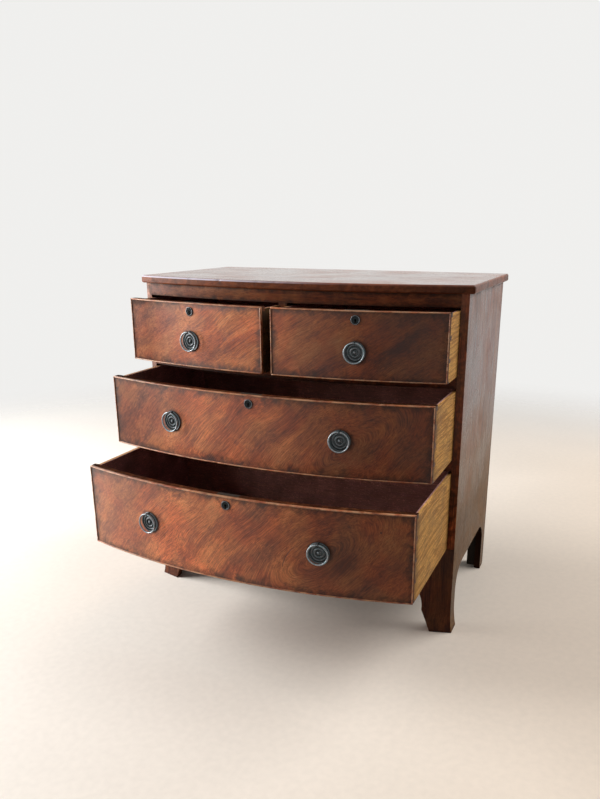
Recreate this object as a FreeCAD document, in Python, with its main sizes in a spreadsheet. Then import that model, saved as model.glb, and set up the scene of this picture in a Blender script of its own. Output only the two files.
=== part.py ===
# FreeCAD macro: a bow front chest of drawers, built from its separate boards, feet, drawers and fittings.
# Frame: millimetres, x to the right, y towards the back, z up.  Each board is drawn in the case's frame,
# where y = 0 is the front corner of the case, and then moved back by origin_back, so that the origin of the
# finished chest lies on the floor under the middle of its overall length and width, drawers as they stand.
import FreeCAD, Part
import math
import os
import Sketcher

doc = FreeCAD.newDocument("bow_front_chest")
sheet = doc.addObject("Spreadsheet::Sheet", "dims")
sheet_rows = []
nodes = []


# ---------------------------------------------------------------- sizes that remember their formula

class Size:
    """A size with its number and the sheet formula that gives it."""

    def __init__(self, formula, number):
        self.formula = formula
        self.number = number

    def joined(self, sign, other, number):
        return Size("(" + self.formula + " " + sign + " " + other.formula + ")", number)

    def __add__(self, other):
        other = sized(other)
        return self.joined("+", other, self.number + other.number)

    def __sub__(self, other):
        other = sized(other)
        return self.joined("-", other, self.number - other.number)

    def __mul__(self, other):
        other = sized(other)
        return self.joined("*", other, self.number * other.number)

    def __truediv__(self, other):
        other = sized(other)
        return self.joined("/", other, self.number / other.number)

    def __neg__(self):
        return ZERO - self


def sized(value):
    """The value as a Size, whether it is one already or a plain number."""
    return value if isinstance(value, Size) else Size(str(value), float(value))


def root(size):
    return Size("sqrt(" + size.formula + ")", math.sqrt(size.number))


def cosine_of(size):
    """The cosine of an angle in degrees."""
    return Size("cos(" + size.formula + ")", math.cos(math.radians(size.number)))


def sine_of(size):
    """The sine of an angle in degrees."""
    return Size("sin(" + size.formula + ")", math.sin(math.radians(size.number)))


def arcsine(size):
    """The angle, in degrees, whose sine is the size."""
    return Size("asin(" + size.formula + ")", math.degrees(math.asin(size.number)))


ZERO = Size("0", 0.0)


def same_length(first, second):
    """Whether two lengths in millimetres differ by no more than rounding."""
    rounding = 0.01
    return abs(first - second) < rounding


def count_of(length, pitch):
    """How many pieces of about one pitch fill the length."""
    return max(1, round(length.number / pitch.number))


def write_row(name, content, note):
    row = str(len(sheet_rows) + 1)
    sheet_rows.append(name)
    sheet.set("A" + row, name)
    sheet.set("B" + row, content)
    sheet.set("C" + row, note)
    sheet.setAlias("B" + row, name)


def given(name, number, note):
    """A driving dimension: one named cell with a plain number."""
    write_row(name, str(number), note)
    return Size("dims." + name, float(number))


def worked(name, size, note):
    """A dimension that follows from others: one named cell with a formula."""
    write_row(name, "=" + size.formula.replace("dims.", ""), note)
    return Size("dims." + name, size.number)


# ---------------------------------------------------------------- driving dimensions

DRIVING = (
    ("case_width", 892, "over the two side panels"),
    ("total_height", 900, "floor to top face"),
    ("side_depth", 450, "front corner to back edge of a side panel"),
    ("bow_rise", 64, "how far the bow stands out before its corners"),
    ("panel", 18, "side panel thickness"),
    ("top_thickness", 20, "top board thickness"),
    ("top_side_overhang", 12, "top past each side panel"),
    ("top_front_overhang", 7, "top past the bow"),
    ("top_back_overhang", 6, "top past the back"),
    ("edge_round", 6, "rounding on the upper edge of the top"),
    ("edge_undercut", 2.5, "bevel under the edge of the top"),
    ("frieze_height", 31.5, "rail under the top"),
    ("rail_thickness", 28, "rails between the drawers"),
    ("rail_reach", 60, "back edge of a rail behind the corner"),
    ("divider_width", 22, "upright between the short drawers"),
    ("divider_reach", 20, "back edge of that upright behind the corner"),
    ("housing", 6, "depth of a rail's tongue in the side panel"),
    ("housing_start", 12, "front end of the tongue behind the corner"),
    ("runner_width", 30, "runner under a drawer side"),
    ("centre_runner_width", 72, "runner shared by the short drawers"),
    ("guide_height", 20, "guide strip between the short drawers"),
    ("dust_thickness", 8, "dust board thickness"),
    ("dust_groove", 5, "depth of the groove for a dust board"),
    ("dust_drop", 6, "top of a dust board below the runner's top"),
    ("back_thickness", 10, "back boards"),
    ("back_rebate", 9, "width of the rebate for the back boards"),
    ("back_sink", 10.6, "lowest back board below the base rail's underside"),
    ("back_joint", 1, "gap between two back boards"),
    ("back_board_pitch", 225, "back boards apart, to the nearest whole board"),

    ("short_height", 160, "front of a short drawer"),
    ("long_height", 178, "front of the upper long drawer"),
    ("base_floor", 238.6, "top of the base rail, feet and apron"),
    ("gap_top", 1.5, "clearance over a drawer front"),
    ("gap_bottom", 0.8, "clearance under a drawer front"),
    ("gap_side", 1, "clearance beside a drawer"),
    ("glide", 0.3, "drawer side above its runner"),
    ("opened_short_left", 94, "left short drawer pulled out by"),
    ("opened_short_right", 94, "right short drawer pulled out by"),
    ("opened_long", 190, "upper long drawer pulled out by"),
    ("opened_deep", 310, "lower long drawer pulled out by"),
    ("front_thickness", 20, "drawer front"),
    ("side_thickness", 10, "drawer side"),
    ("side_drop", 6, "drawer side below the top of its front"),
    ("drawer_clear", 15, "room behind a closed drawer"),
    ("drawer_back_thickness", 9, "drawer back"),
    ("back_drop", 8, "drawer back below the top of its sides"),
    ("bottom_thickness", 6, "drawer bottom"),
    ("bottom_rise", 8, "drawer bottom above the lower edge of the sides"),
    ("bottom_groove", 4, "depth of the groove for the bottom"),
    ("lap", 7, "wood of the front left before the dovetails"),
    ("tail_pitch", 48, "dovetails apart, to the nearest whole dovetail"),
    ("pin_width", 8, "narrow end of a dovetail pin"),
    ("tail_slope", 6, "length of a dovetail for one unit of spread"),
    ("bead_thickness", 3, "cockbead"),
    ("bead_stand", 2, "cockbead before the drawer front"),
    ("bead_depth", 5, "cockbead let into the drawer front"),
    ("bead_nose", 1.3, "rounding of the cockbead"),

    ("foot_thickness", 18, "front foot and apron board"),
    ("foot_reach", 146, "front foot along the front, up to its joint with the apron"),
    ("foot_ankle", 74, "width of the front foot at the knee"),
    ("foot_sole", 50, "width of the front foot at the floor"),
    ("knee_height", 60, "knee of the foot, where the flare ends"),
    ("foot_flare", 6, "flare of the front foot at the floor"),
    ("flare_middle", 1.6, "flare half way down"),
    ("foot_scroll", 92, "radius of the foot's inner curve"),
    ("apron_spring", 160, "underside of the apron at the feet"),
    ("apron_arch", 15, "rise of the apron's arch"),
    ("foot_width", 44, "width of a foot on the side panel"),
    ("arch_radius", 62, "corner of the arch in the side panel"),
    ("arch_height", 162, "underside of the side panel"),
    ("heel_round", 10, "rounded heel of the back foot"),
    ("bracket_thickness", 16, "rear bracket board"),
    ("bracket_foot", 28, "rear bracket at its foot"),
    ("bracket_width", 88, "rear bracket at its top"),
    ("bracket_lift", 14, "rear bracket off the floor"),
    ("bracket_shoulder", 92, "where the rear bracket starts to widen"),
    ("bracket_scroll", 70, "radius of the rear bracket's curve"),
    ("block", 24, "glue block"),
    ("block_lift", 7, "glue block off the floor"),
    ("block_height", 120, "glue block height"),

    ("stop_width", 30, "drawer stop"),
    ("stop_length", 14, "drawer stop, front to back"),
    ("stop_height", 6, "drawer stop above the rail"),
    ("stop_gap", 0.3, "drawer stop behind a closed front"),
    ("stop_inset", 138, "drawer stop of a long drawer from the side panel"),
    ("stop_short_spread", 110, "drawer stops of a short drawer apart, halved"),

    ("plate_radius", 25.5, "backplate of a ring pull"),
    ("plate_floor", 1.2, "backplate between its raised rings"),
    ("boss_radius", 4.5, "domed boss in the middle of the backplate"),
    ("boss_height", 5, "top of that boss before the drawer front"),
    ("inner_bead", 10, "inner raised ring of the backplate, to its middle"),
    ("inner_bead_half", 2.6, "half the width of the inner raised ring"),
    ("inner_bead_rise", 2, "inner raised ring above the backplate"),
    ("outer_bead", 17.3, "outer raised ring of the backplate, to its middle"),
    ("outer_bead_half", 1.9, "half the width of the outer raised ring"),
    ("outer_bead_rise", 1.3, "outer raised ring above the backplate"),
    ("rim_bead_half", 2, "half the width of the backplate's rim"),
    ("rim_bead_rise", 1.7, "rim above the backplate"),
    ("ring_radius", 23.5, "ring pull, to the middle of its wire"),
    ("ring_wire", 2, "radius of the ring's wire"),
    ("ring_gap_angle", 18, "opening of the ring at its hinge, degrees"),
    ("pintle", 1.3, "radius of the ring's hinge pin"),
    ("pintle_fit", 0.08, "clearance round the hinge pin"),
    ("knob_ball", 2.9, "ball of the knob that carries the ring"),
    ("knob_stem", 2, "stem of the knob"),
    ("knob_collar", 3.2, "collar at the foot of the stem"),
    ("knob_collar_height", 3.4, "top of the collar before the drawer front"),
    ("ring_stand", 12, "middle of the ring before the drawer front"),
    ("post_radius", 3, "threaded post of the backplate"),
    ("post_fit", 0.1, "clearance round the post"),
    ("nut_radius", 7, "nut on the post, over its corners"),
    ("nut_thickness", 4, "nut on the post"),
    ("nut_seat", 0.05, "nut behind the front's inner face"),
    ("post_tail", 1.5, "post past its nut"),
    ("handle_spread", 222, "handle from the middle of a long drawer"),
    ("handle_low", 15, "handle below the middle of a short drawer"),

    ("key_drop", 21, "keyhole below the top of the front"),
    ("escutcheon_radius", 11, "escutcheon"),
    ("escutcheon_rim", 2, "escutcheon, height of its rim"),
    ("escutcheon_bead", 3, "escutcheon, width of its rim"),
    ("escutcheon_web", 1.2, "escutcheon inside its rim"),
    ("keyhole_radius", 2.6, "round part of the keyhole"),
    ("keyhole_slot", 3.2, "width of the keyhole's slot"),
    ("keyhole_length", 7, "keyhole's slot below its middle"),
    ("lock_width", 56, "lock case"),
    ("lock_thickness", 10, "lock case, let into the front"),
    ("lock_low", 16, "lock case below the keyhole"),
    ("selvedge", 2, "plate on the lock's upper edge"),
    ("selvedge_step", 3, "plate before the lock case"),
    ("bolt_width", 18, "lock bolt"),
    ("bolt_thickness", 4.5, "lock bolt"),
    ("bolt_height", 24, "lock bolt"),
    ("bolt_throw", 9, "travel of the bolt"),
    ("bolt_fit", 0.1, "clearance round the bolt"),
    ("bolt_set", 2, "bolt behind the lock's front plate"),
    ("key_pin", 1.2, "radius of the lock's key pin"),
    ("mortise_fit", 2, "room round the thrown bolt in the rail"),
    ("overcut", 1, "how far a cut runs past the wood or metal"),
)

# each row of the table becomes a cell of the sheet, and a name that the rest of the file uses
for alias, number, note in DRIVING:
    globals()[alias] = given(alias, number, note)

# ---------------------------------------------------------------- dimensions that follow

def crown_radius(half, rise):
    """The radius of an arc that rises by rise over a chord of twice half."""
    return (half * half + rise * rise) / (rise * 2)


half_case = worked("half_case", case_width / 2, "middle to outer face")
half_inside = worked("half_inside", half_case - panel, "middle to inner face")
bow_radius = worked("bow_radius", crown_radius(half_case, bow_rise), "bow")
bow_centre = worked("bow_centre", bow_radius - bow_rise, "middle of the bow behind the corners")
inside_back = worked("inside_back", side_depth - back_thickness, "front face of the back boards")
drawer_reach = worked("drawer_reach", inside_back - drawer_clear, "back of a closed drawer")
top_under = worked("top_under", total_height - top_thickness, "underside of the top")
frieze_under = worked("frieze_under", top_under - frieze_height, "underside of the frieze rail")
short_top = worked("short_top", frieze_under - gap_top, "top of the short fronts")
short_base = worked("short_base", short_top - short_height, "lower edge of the short fronts")
upper_floor = worked("upper_floor", short_base - gap_bottom, "top of the upper rail")
long_top = worked("long_top", upper_floor - rail_thickness - gap_top, "top of the upper long front")
long_base = worked("long_base", long_top - long_height, "lower edge of the upper long front")
middle_floor = worked("middle_floor", long_base - gap_bottom, "top of the middle rail")
deep_top = worked("deep_top", middle_floor - rail_thickness - gap_top, "top of the lower long front")
deep_base = worked("deep_base", base_floor + gap_bottom, "lower edge of the lower long front")
deep_height = worked("deep_height", deep_top - deep_base, "lower long front, which takes what height is left")
back_bottom = worked("back_bottom", base_floor - rail_thickness - back_sink, "underside of the back boards")
foot_joint = worked("foot_joint", half_case - foot_reach, "joint of foot and apron from the middle")
foot_knee = worked("foot_knee", half_case - foot_ankle, "inner edge of the front foot at the knee")
foot_inner = worked("foot_inner", half_case - foot_sole, "inner edge of the front foot at the floor")
stop_spread = worked("stop_spread", half_inside - stop_inset, "drawer stop of a long drawer from the middle")
ring_cosine = worked("ring_cosine", cosine_of(ring_gap_angle / 2), "half the ring's opening")
ring_sine = worked("ring_sine", sine_of(ring_gap_angle / 2), "half the ring's opening")
front_reach = worked("front_reach", bow_rise + opened_deep + bead_stand, "lower drawer before the corners")
origin_back = worked("origin_back", (side_depth + top_back_overhang - front_reach) / 2,
                     "middle of the overall depth behind the corners")


def bow_y(radius, x):
    """Where a curve struck from the middle of the bow passes at x."""
    return bow_centre - root(radius * radius - x * x)


# ---------------------------------------------------------------- drawing tools

def place(made, x=ZERO, y=ZERO, z=ZERO, turn=None, hand=1):
    """Bind an object's place to the sheet; turn is about the upright through its own origin."""
    if turn is not None:
        spin = FreeCAD.Rotation(FreeCAD.Vector(0, 0, hand), turn.number)
        made.Placement = FreeCAD.Placement(FreeCAD.Vector(0, 0, 0), spin)
        made.setExpression("Placement.Rotation.Angle", turn.formula)
    for axis, value in (("x", sized(x)), ("y", sized(y) - origin_back), ("z", sized(z))):
        made.setExpression("Placement.Base." + axis, value.formula)


def new_body(label, x=ZERO, y=ZERO, z=ZERO, turn=None, hand=1):
    made = doc.addObject("PartDesign::Body", label)
    made.Label = label
    place(made, x, y, z, turn, hand)
    return made


def sketch_on(body, role, x=ZERO, y=ZERO, z=ZERO, turn=None, hand=1):
    """A sketch on one of the body's origin planes, moved to x, y, z and turned about the upright."""
    made = body.newObject("Sketcher::SketchObject", body.Name + "_sketch")
    plane = [feature for feature in body.Origin.OriginFeatures if feature.Role == role + "_Plane"][0]
    made.AttachmentSupport = [(plane, "")]
    made.MapMode = "FlatFace"
    if turn is not None:
        spin = FreeCAD.Rotation(FreeCAD.Vector(0, hand, 0), turn.number)
        made.AttachmentOffset = FreeCAD.Placement(FreeCAD.Vector(0, 0, 0), spin)
        made.setExpression(".AttachmentOffset.Rotation.Angle", turn.formula)
    shifts = {"XY": (x, y, z), "XZ": (x, z, -sized(y)), "YZ": (y, z, x)}[role]
    for axis, value in zip("xyz", shifts):
        if abs(sized(value).number) > 0:
            made.setExpression(".AttachmentOffset.Base." + axis, sized(value).formula)
    return made


def bind_point(sketch, geometry, end, x, y):
    """Fix one point of the sketch at x, y from the sketch's origin."""
    for kind, axis, value in (("DistanceX", -2, sized(x)), ("DistanceY", -1, sized(y))):
        if value.number == 0:
            sketch.addConstraint(Sketcher.Constraint("PointOnObject", geometry, end, axis))
        else:
            index = sketch.addConstraint(Sketcher.Constraint(kind, -1, 1, geometry, end, value.number))
            sketch.setExpression("Constraints[%d]" % index, value.formula)


def arc_between(start, end, radius, side):
    """The short arc from start to end; side 1 has its middle on the left, -1 on the right."""
    middle = (start + end) / 2
    chord = end - start
    offset = math.sqrt(max(radius * radius - chord.Length * chord.Length / 4, 0.0))
    normal = FreeCAD.Vector(-chord.y, chord.x, 0).normalize()
    centre = middle + normal * (offset * side)
    first = math.atan2(start.y - centre.y, start.x - centre.x)
    last = math.atan2(end.y - centre.y, end.x - centre.x)
    circle = Part.Circle(centre, FreeCAD.Vector(0, 0, 1), radius)
    if side > 0:
        return Part.ArcOfCircle(circle, first, last)
    return Part.ArcOfCircle(circle, last, first)


def outline(sketch, corners):
    """A closed outline.  A corner is (x, y), or (x, y, radius, side) where an arc arrives at it."""
    points = [FreeCAD.Vector(sized(c[0]).number, sized(c[1]).number, 0) for c in corners]
    starts = []
    ends = []
    for index, corner in enumerate(corners):
        start, end = points[index - 1], points[index]
        if len(corner) == 2:
            geometry = sketch.addGeometry(Part.LineSegment(start, end), False)
            forward = True
        else:
            radius = sized(corner[2])
            geometry = sketch.addGeometry(arc_between(start, end, radius.number, corner[3]), False)
            forward = corner[3] > 0
        starts.append((geometry, 1 if forward else 2))
        ends.append((geometry, 2 if forward else 1))
    count = len(corners)
    for index in range(count):
        tip, root_end = ends[index], starts[(index + 1) % count]
        sketch.addConstraint(Sketcher.Constraint("Coincident", tip[0], tip[1], root_end[0], root_end[1]))
    for index, corner in enumerate(corners):
        bind_point(sketch, ends[index][0], ends[index][1], corner[0], corner[1])
        if len(corner) > 2:
            radius = sized(corner[2])
            fixed = sketch.addConstraint(Sketcher.Constraint("Radius", ends[index][0], radius.number))
            sketch.setExpression("Constraints[%d]" % fixed, radius.formula)
    return sketch


def rectangle(sketch, x0, y0, x1, y1):
    return outline(sketch, [(x0, y0), (x1, y0), (x1, y1), (x0, y1)])


def circle(sketch, x, y, radius):
    spot = FreeCAD.Vector(sized(x).number, sized(y).number, 0)
    geometry = sketch.addGeometry(Part.Circle(spot, FreeCAD.Vector(0, 0, 1), radius.number), False)
    bind_point(sketch, geometry, 3, x, y)
    fixed = sketch.addConstraint(Sketcher.Constraint("Radius", geometry, radius.number))
    sketch.setExpression("Constraints[%d]" % fixed, radius.formula)
    return sketch


def pad(body, sketch, length, flip=False, both=False):
    made = body.newObject("PartDesign::Pad", body.Name + "_pad")
    made.Profile = sketch
    made.setExpression("Length", sized(length).formula)
    made.Reversed = flip
    if both:
        made.SideType = "Symmetric"
    return made


def pocket(body, sketch, length=None, flip=False, both=False):
    """Cut the sketch away, through everything where no length is given."""
    made = body.newObject("PartDesign::Pocket", body.Name + "_pocket")
    made.Profile = sketch
    if length is None:
        made.Type = "ThroughAll"
    else:
        made.setExpression("Length", sized(length).formula)
    made.Reversed = flip
    if both:
        made.SideType = "Symmetric"
    return made


def loft(body, sketches):
    made = body.newObject("PartDesign::AdditiveLoft", body.Name + "_loft")
    made.Profile = sketches[0]
    made.Sections = sketches[1:]
    return made


def revolve(body, sketch, axis, angle=360, both=False):
    made = body.newObject("PartDesign::Revolution", body.Name + "_revolution")
    made.Profile = sketch
    made.ReferenceAxis = (sketch, [axis])
    made.setExpression("Angle", sized(angle).formula)
    made.Midplane = both
    return made


def dress(body, kind, base, value, wanted):
    """Round or bevel the edges of base that wanted() picks."""
    doc.recompute()
    names = ["Edge%d" % (i + 1) for i, edge in enumerate(base.Shape.Edges) if wanted(edge)]
    made = body.newObject("PartDesign::" + kind, body.Name + "_" + kind.lower())
    made.Base = (base, names)
    made.setExpression("Radius" if kind == "Fillet" else "Size", sized(value).formula)
    return made


def keep(made):
    """Count the object as one of the chest's pieces: its Label names its file."""
    nodes.append(made)
    return made


def group(label, pieces):
    """Several separate solids under one name."""
    made = doc.addObject("Part::Compound", label)
    made.Label = label
    made.Links = pieces
    return keep(made)


def board(label, x, y, z):
    """A plain board from pairs of limits."""
    made = doc.addObject("Part::Box", label)
    made.Label = label
    for name, (low, high) in (("Length", x), ("Width", y), ("Height", z)):
        made.setExpression(name, (sized(high) - low).formula)
    place(made, x[0], y[0], z[0])
    return made


def bow_band(sketch, x0, x1, outer, inner):
    """The plan of a bowed strip between two curves struck from the middle of the bow."""
    return outline(sketch, [(x0, bow_y(outer, x0)), (x1, bow_y(outer, x1), outer, 1),
                            (x1, bow_y(inner, x1)), (x0, bow_y(inner, x0), inner, -1)])


def mirrored(hand, x):
    """x on the right-hand side for hand 1, on the left-hand side for hand -1."""
    return sized(x) if hand > 0 else -sized(x)


def surface_point(x, along, inward):
    """The point along the tangent and inward from the bow's surface at x."""
    sine = sized(x) / bow_radius
    cosine = root(bow_radius * bow_radius - sized(x) * x) / bow_radius
    across = sized(x) + cosine * along - sine * inward
    return across, bow_y(bow_radius, sized(x)) + sine * along + cosine * inward


def surface_turn(x):
    """The angle of the bow's tangent at x, and the hand of that turn."""
    hand = -1 if sized(x).number < 0 else 1
    return (None if sized(x).number == 0 else arcsine(mirrored(hand, x) / bow_radius)), hand


# ---------------------------------------------------------------- the case

mitre_back = bow_y(bow_radius - foot_thickness, half_inside)
corner_front = bow_y(bow_radius, half_inside)
rail_levels = ((frieze_under, top_under, housing_start),
               (upper_floor - rail_thickness, upper_floor, housing_start),
               (middle_floor - rail_thickness, middle_floor, housing_start),
               (base_floor - rail_thickness, base_floor, foot_thickness + housing_start))


def make_top():
    body = new_body("top")
    half = half_case + top_side_overhang
    front = bow_radius + top_front_overhang
    back = side_depth + top_back_overhang
    plan = sketch_on(body, "XY", z=top_under)
    outline(plan, [(-half, bow_y(front, half)), (half, bow_y(front, half), front, 1),
                   (half, back), (-half, back)])
    slab = pad(body, plan, top_thickness)

    def at_height(height):
        return lambda edge: (same_length(edge.BoundBox.ZMin, height.number)
                             and same_length(edge.BoundBox.ZMax, height.number)
                             and not same_length(edge.BoundBox.YMin, back.number))

    rounded = dress(body, "Fillet", slab, edge_round, at_height(total_height))
    dress(body, "Chamfer", rounded, edge_undercut, at_height(top_under))
    keep(body)


def flared_corner(flare):
    """Where the two faces of a front foot meet, once each has moved out by the flare."""
    x = half_case + flare
    return x, bow_y(bow_radius + flare, x)


def toe_levels():
    return ((knee_height, ZERO), (knee_height / 2, flare_middle), (ZERO, foot_flare))


def make_side(label, hand):
    """Side panel with its two feet, cut from one board: arch, mitre, rebate and housings."""
    body = new_body(label)
    inner = mirrored(hand, half_inside)
    outer = mirrored(hand, half_case)
    shoulder = arch_height - arch_radius
    back_foot = side_depth - foot_width
    face = sketch_on(body, "YZ", x=inner)
    outline(face, [(corner_front, knee_height), (foot_width, knee_height), (foot_width, shoulder),
                   (foot_width + arch_radius, arch_height, arch_radius, -1),
                   (back_foot - arch_radius, arch_height), (back_foot, shoulder, arch_radius, -1),
                   (back_foot, ZERO), (side_depth - heel_round, ZERO),
                   (side_depth, heel_round, heel_round, 1), (side_depth, top_under),
                   (corner_front, top_under)])
    pad(body, face, panel, flip=hand < 0)
    toes = []
    for level, flare in toe_levels():
        corner_x, corner_y = flared_corner(flare)
        toe = sketch_on(body, "XY", z=level)
        outline(toe, [(inner, mitre_back), (mirrored(hand, corner_x), corner_y),
                      (mirrored(hand, corner_x), foot_width), (inner, foot_width)])
        toes.append(toe)
    loft(body, toes)
    before = corner_front - overcut
    bow_edge = sketch_on(body, "XY", z=base_floor)
    outline(bow_edge, [(inner, corner_front), (outer, ZERO, bow_radius, hand),
                       (outer, before), (inner, before)])
    pocket(body, bow_edge, flip=True)
    mitre = sketch_on(body, "XY", z=base_floor)
    outline(mitre, [(inner, before), (outer, before), (outer, ZERO), (inner, mitre_back)])
    pocket(body, mitre, base_floor - knee_height)
    rebate = sketch_on(body, "XY", z=back_bottom)
    rectangle(rebate, inner, inside_back, mirrored(hand, half_inside + back_rebate), side_depth + overcut)
    pocket(body, rebate, top_under - back_bottom, flip=True)
    housings = sketch_on(body, "YZ", x=inner)
    for low, high, start in rail_levels:
        rectangle(housings, start, low, rail_reach, high)
    pocket(body, housings, housing, flip=hand > 0)
    keep(body)


def make_rail(label, level, face, bolt_places, grooved):
    """A bowed rail with tongues in the side panels and a mortise for each lock bolt under it."""
    low, high, start = rail_levels[level]
    body = new_body(label)
    end = half_inside + housing
    plan = sketch_on(body, "XY", z=low)
    outline(plan, [(-half_inside, bow_y(face, half_inside)), (half_inside, bow_y(face, half_inside), face, 1),
                   (half_inside, start), (end, start), (end, rail_reach), (-end, rail_reach), (-end, start),
                   (-half_inside, start)])
    pad(body, plan, high - low)
    if grooved:
        groove = sketch_on(body, "XY", z=high - dust_drop - dust_thickness)
        reach = half_inside - runner_width + dust_groove
        rectangle(groove, -reach, rail_reach - dust_groove, reach, rail_reach + overcut)
        pocket(body, groove, dust_thickness, flip=True)
    for place_x in bolt_places:
        mortise = sketch_on(body, "XY", z=low)
        side = bolt_width / 2 + mortise_fit
        near = front_thickness - lock_thickness + bolt_set - mortise_fit
        far = near + bolt_thickness + mortise_fit * 2
        outline(mortise, [surface_point(place_x, along, inward) for along, inward in
                          ((-side, near), (side, near), (side, far), (-side, far))])
        pocket(body, mortise, bolt_throw + mortise_fit, flip=True)
    keep(body)


def make_divider():
    body = new_body("drawer_divider")
    half = divider_width / 2
    plan = sketch_on(body, "XY", z=upper_floor)
    outline(plan, [(-half, bow_y(bow_radius, half)), (half, bow_y(bow_radius, half), bow_radius, 1),
                   (half, divider_reach), (-half, divider_reach)])
    pad(body, plan, frieze_under - upper_floor)
    keep(body)


def make_runner(label, floor, hand):
    """A side runner, grooved towards the middle for the dust board."""
    body = new_body(label)
    wall = mirrored(hand, half_inside)
    edge = mirrored(hand, half_inside - runner_width)
    deep = mirrored(hand, half_inside - runner_width + dust_groove)
    groove_top = floor - dust_drop
    groove_low = groove_top - dust_thickness
    end = sketch_on(body, "XZ", y=inside_back)
    outline(end, [(wall, floor), (edge, floor), (edge, groove_top), (deep, groove_top), (deep, groove_low),
                  (edge, groove_low), (edge, floor - rail_thickness), (wall, floor - rail_thickness)])
    pad(body, end, inside_back - rail_reach)
    return body


def make_centre_runner():
    """The runner between the short drawers, grooved on both sides."""
    body = new_body("runner_centre")
    half = centre_runner_width / 2
    deep = half - dust_groove
    groove_top = upper_floor - dust_drop
    groove_low = groove_top - dust_thickness
    under = upper_floor - rail_thickness
    end = sketch_on(body, "XZ", y=inside_back)
    right = [(half, under), (half, groove_low), (deep, groove_low), (deep, groove_top), (half, groove_top),
             (half, upper_floor)]
    left = [(-x, z) for x, z in reversed(right)]
    outline(end, right + left)
    pad(body, end, inside_back - rail_reach)
    return body


def make_runners():
    pieces = [make_centre_runner()]
    for name, floor in (("upper", upper_floor), ("middle", middle_floor), ("base", base_floor)):
        pieces.append(make_runner("runner_" + name + "_right", floor, 1))
        pieces.append(make_runner("runner_" + name + "_left", floor, -1))
    run = (rail_reach, inside_back)
    rise = (frieze_under, top_under)
    half = centre_runner_width / 2
    near = half_inside - runner_width
    pieces.append(board("kicker_centre", (-half, half), run, rise))
    pieces.append(board("kicker_right", (near, half_inside), run, rise))
    pieces.append(board("kicker_left", (-half_inside, -near), run, rise))
    half_guide = divider_width / 2
    pieces.append(board("guide_centre", (-half_guide, half_guide), (divider_reach, inside_back),
                        (upper_floor, upper_floor + guide_height)))
    group("runners_and_guides", pieces)


def make_dust_boards():
    reach = half_inside - runner_width + dust_groove
    near = centre_runner_width / 2 - dust_groove
    run = (rail_reach - dust_groove, inside_back)
    places = (("upper_right", upper_floor, (near, reach)), ("upper_left", upper_floor, (-reach, -near)),
              ("middle", middle_floor, (-reach, reach)), ("base", base_floor, (-reach, reach)))
    pieces = []
    for name, floor, across in places:
        high = floor - dust_drop
        pieces.append(board("dust_board_" + name, across, run, (high - dust_thickness, high)))
    group("dust_boards", pieces)


def make_stop(label, x, floor, hand):
    """A block on a rail, shaped to the inner face of the closed drawer front."""
    body = new_body(label)
    face = bow_radius - front_thickness - stop_gap
    near = x - stop_width / 2
    far = x + stop_width / 2
    back = bow_y(face, far) + stop_length
    plan = sketch_on(body, "XY", z=floor)
    outline(plan, [(mirrored(hand, near), bow_y(face, near)),
                   (mirrored(hand, far), bow_y(face, far), face, hand),
                   (mirrored(hand, far), back), (mirrored(hand, near), back)])
    pad(body, plan, stop_height)
    return body


def make_stops():
    middle = short_middle()
    places = (("short_inner", middle - stop_short_spread, upper_floor),
              ("short_outer", middle + stop_short_spread, upper_floor),
              ("long", stop_spread, middle_floor), ("deep", stop_spread, base_floor))
    pieces = []
    for name, x, floor in places:
        pieces.append(make_stop("stop_" + name + "_right", x, floor, 1))
        pieces.append(make_stop("stop_" + name + "_left", x, floor, -1))
    group("drawer_stops", pieces)


def make_back_boards():
    edge = half_inside + back_rebate
    count = count_of(top_under - back_bottom, back_board_pitch)
    pitch = (top_under - back_bottom + back_joint) / count
    pieces = []
    for index in range(count):
        low = back_bottom + pitch * index
        pieces.append(board("back_board_%d" % (index + 1), (-edge, edge), (inside_back, side_depth),
                            (low, low + pitch - back_joint)))
    group("back_boards", pieces)


# ---------------------------------------------------------------- base: apron, feet, brackets, blocks

def make_apron():
    """Bowed apron with a shallow arch between the front feet."""
    body = new_body("apron")
    plan = sketch_on(body, "XY", z=apron_spring)
    bow_band(plan, -foot_joint, foot_joint, bow_radius, bow_radius - foot_thickness)
    pad(body, plan, base_floor - apron_spring)
    arch = sketch_on(body, "XZ", y=-bow_rise - foot_thickness)
    below = apron_spring - overcut
    outline(arch, [(-foot_joint, below), (foot_joint, below), (foot_joint, apron_spring),
                   (-foot_joint, apron_spring, crown_radius(foot_joint, apron_arch), 1)])
    pocket(body, arch)
    keep(body)


def make_front_foot(label, hand):
    """Bowed bracket foot, mitred to the side panel, with a flared toe and a scrolled inner edge."""
    body = new_body(label)
    back = bow_radius - foot_thickness
    joint = mirrored(hand, foot_joint)
    inner = mirrored(hand, half_inside)
    plan = sketch_on(body, "XY", z=knee_height)
    outline(plan, [(joint, bow_y(bow_radius, foot_joint)),
                   (mirrored(hand, half_case), ZERO, bow_radius, hand), (inner, mitre_back),
                   (joint, bow_y(back, foot_joint), back, -hand)])
    pad(body, plan, base_floor - knee_height)
    start = foot_knee - foot_thickness
    start_x = mirrored(hand, start)
    toes = []
    for level, flare in toe_levels():
        corner_x, corner_y = flared_corner(flare)
        face = bow_radius + flare
        toe = sketch_on(body, "XY", z=level)
        outline(toe, [(start_x, bow_y(face, start)), (mirrored(hand, corner_x), corner_y, face, hand),
                      (inner, mitre_back), (start_x, bow_y(back, start), back, -hand)])
        toes.append(toe)
    loft(body, toes)
    scroll = sketch_on(body, "XZ", y=-bow_rise - foot_thickness)
    before = mirrored(hand, foot_joint - overcut)
    outline(scroll, [(before, -overcut), (mirrored(hand, foot_inner), -overcut),
                     (mirrored(hand, foot_knee), knee_height), (joint, apron_spring, foot_scroll, hand),
                     (before, apron_spring)])
    pocket(body, scroll)
    keep(body)


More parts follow.
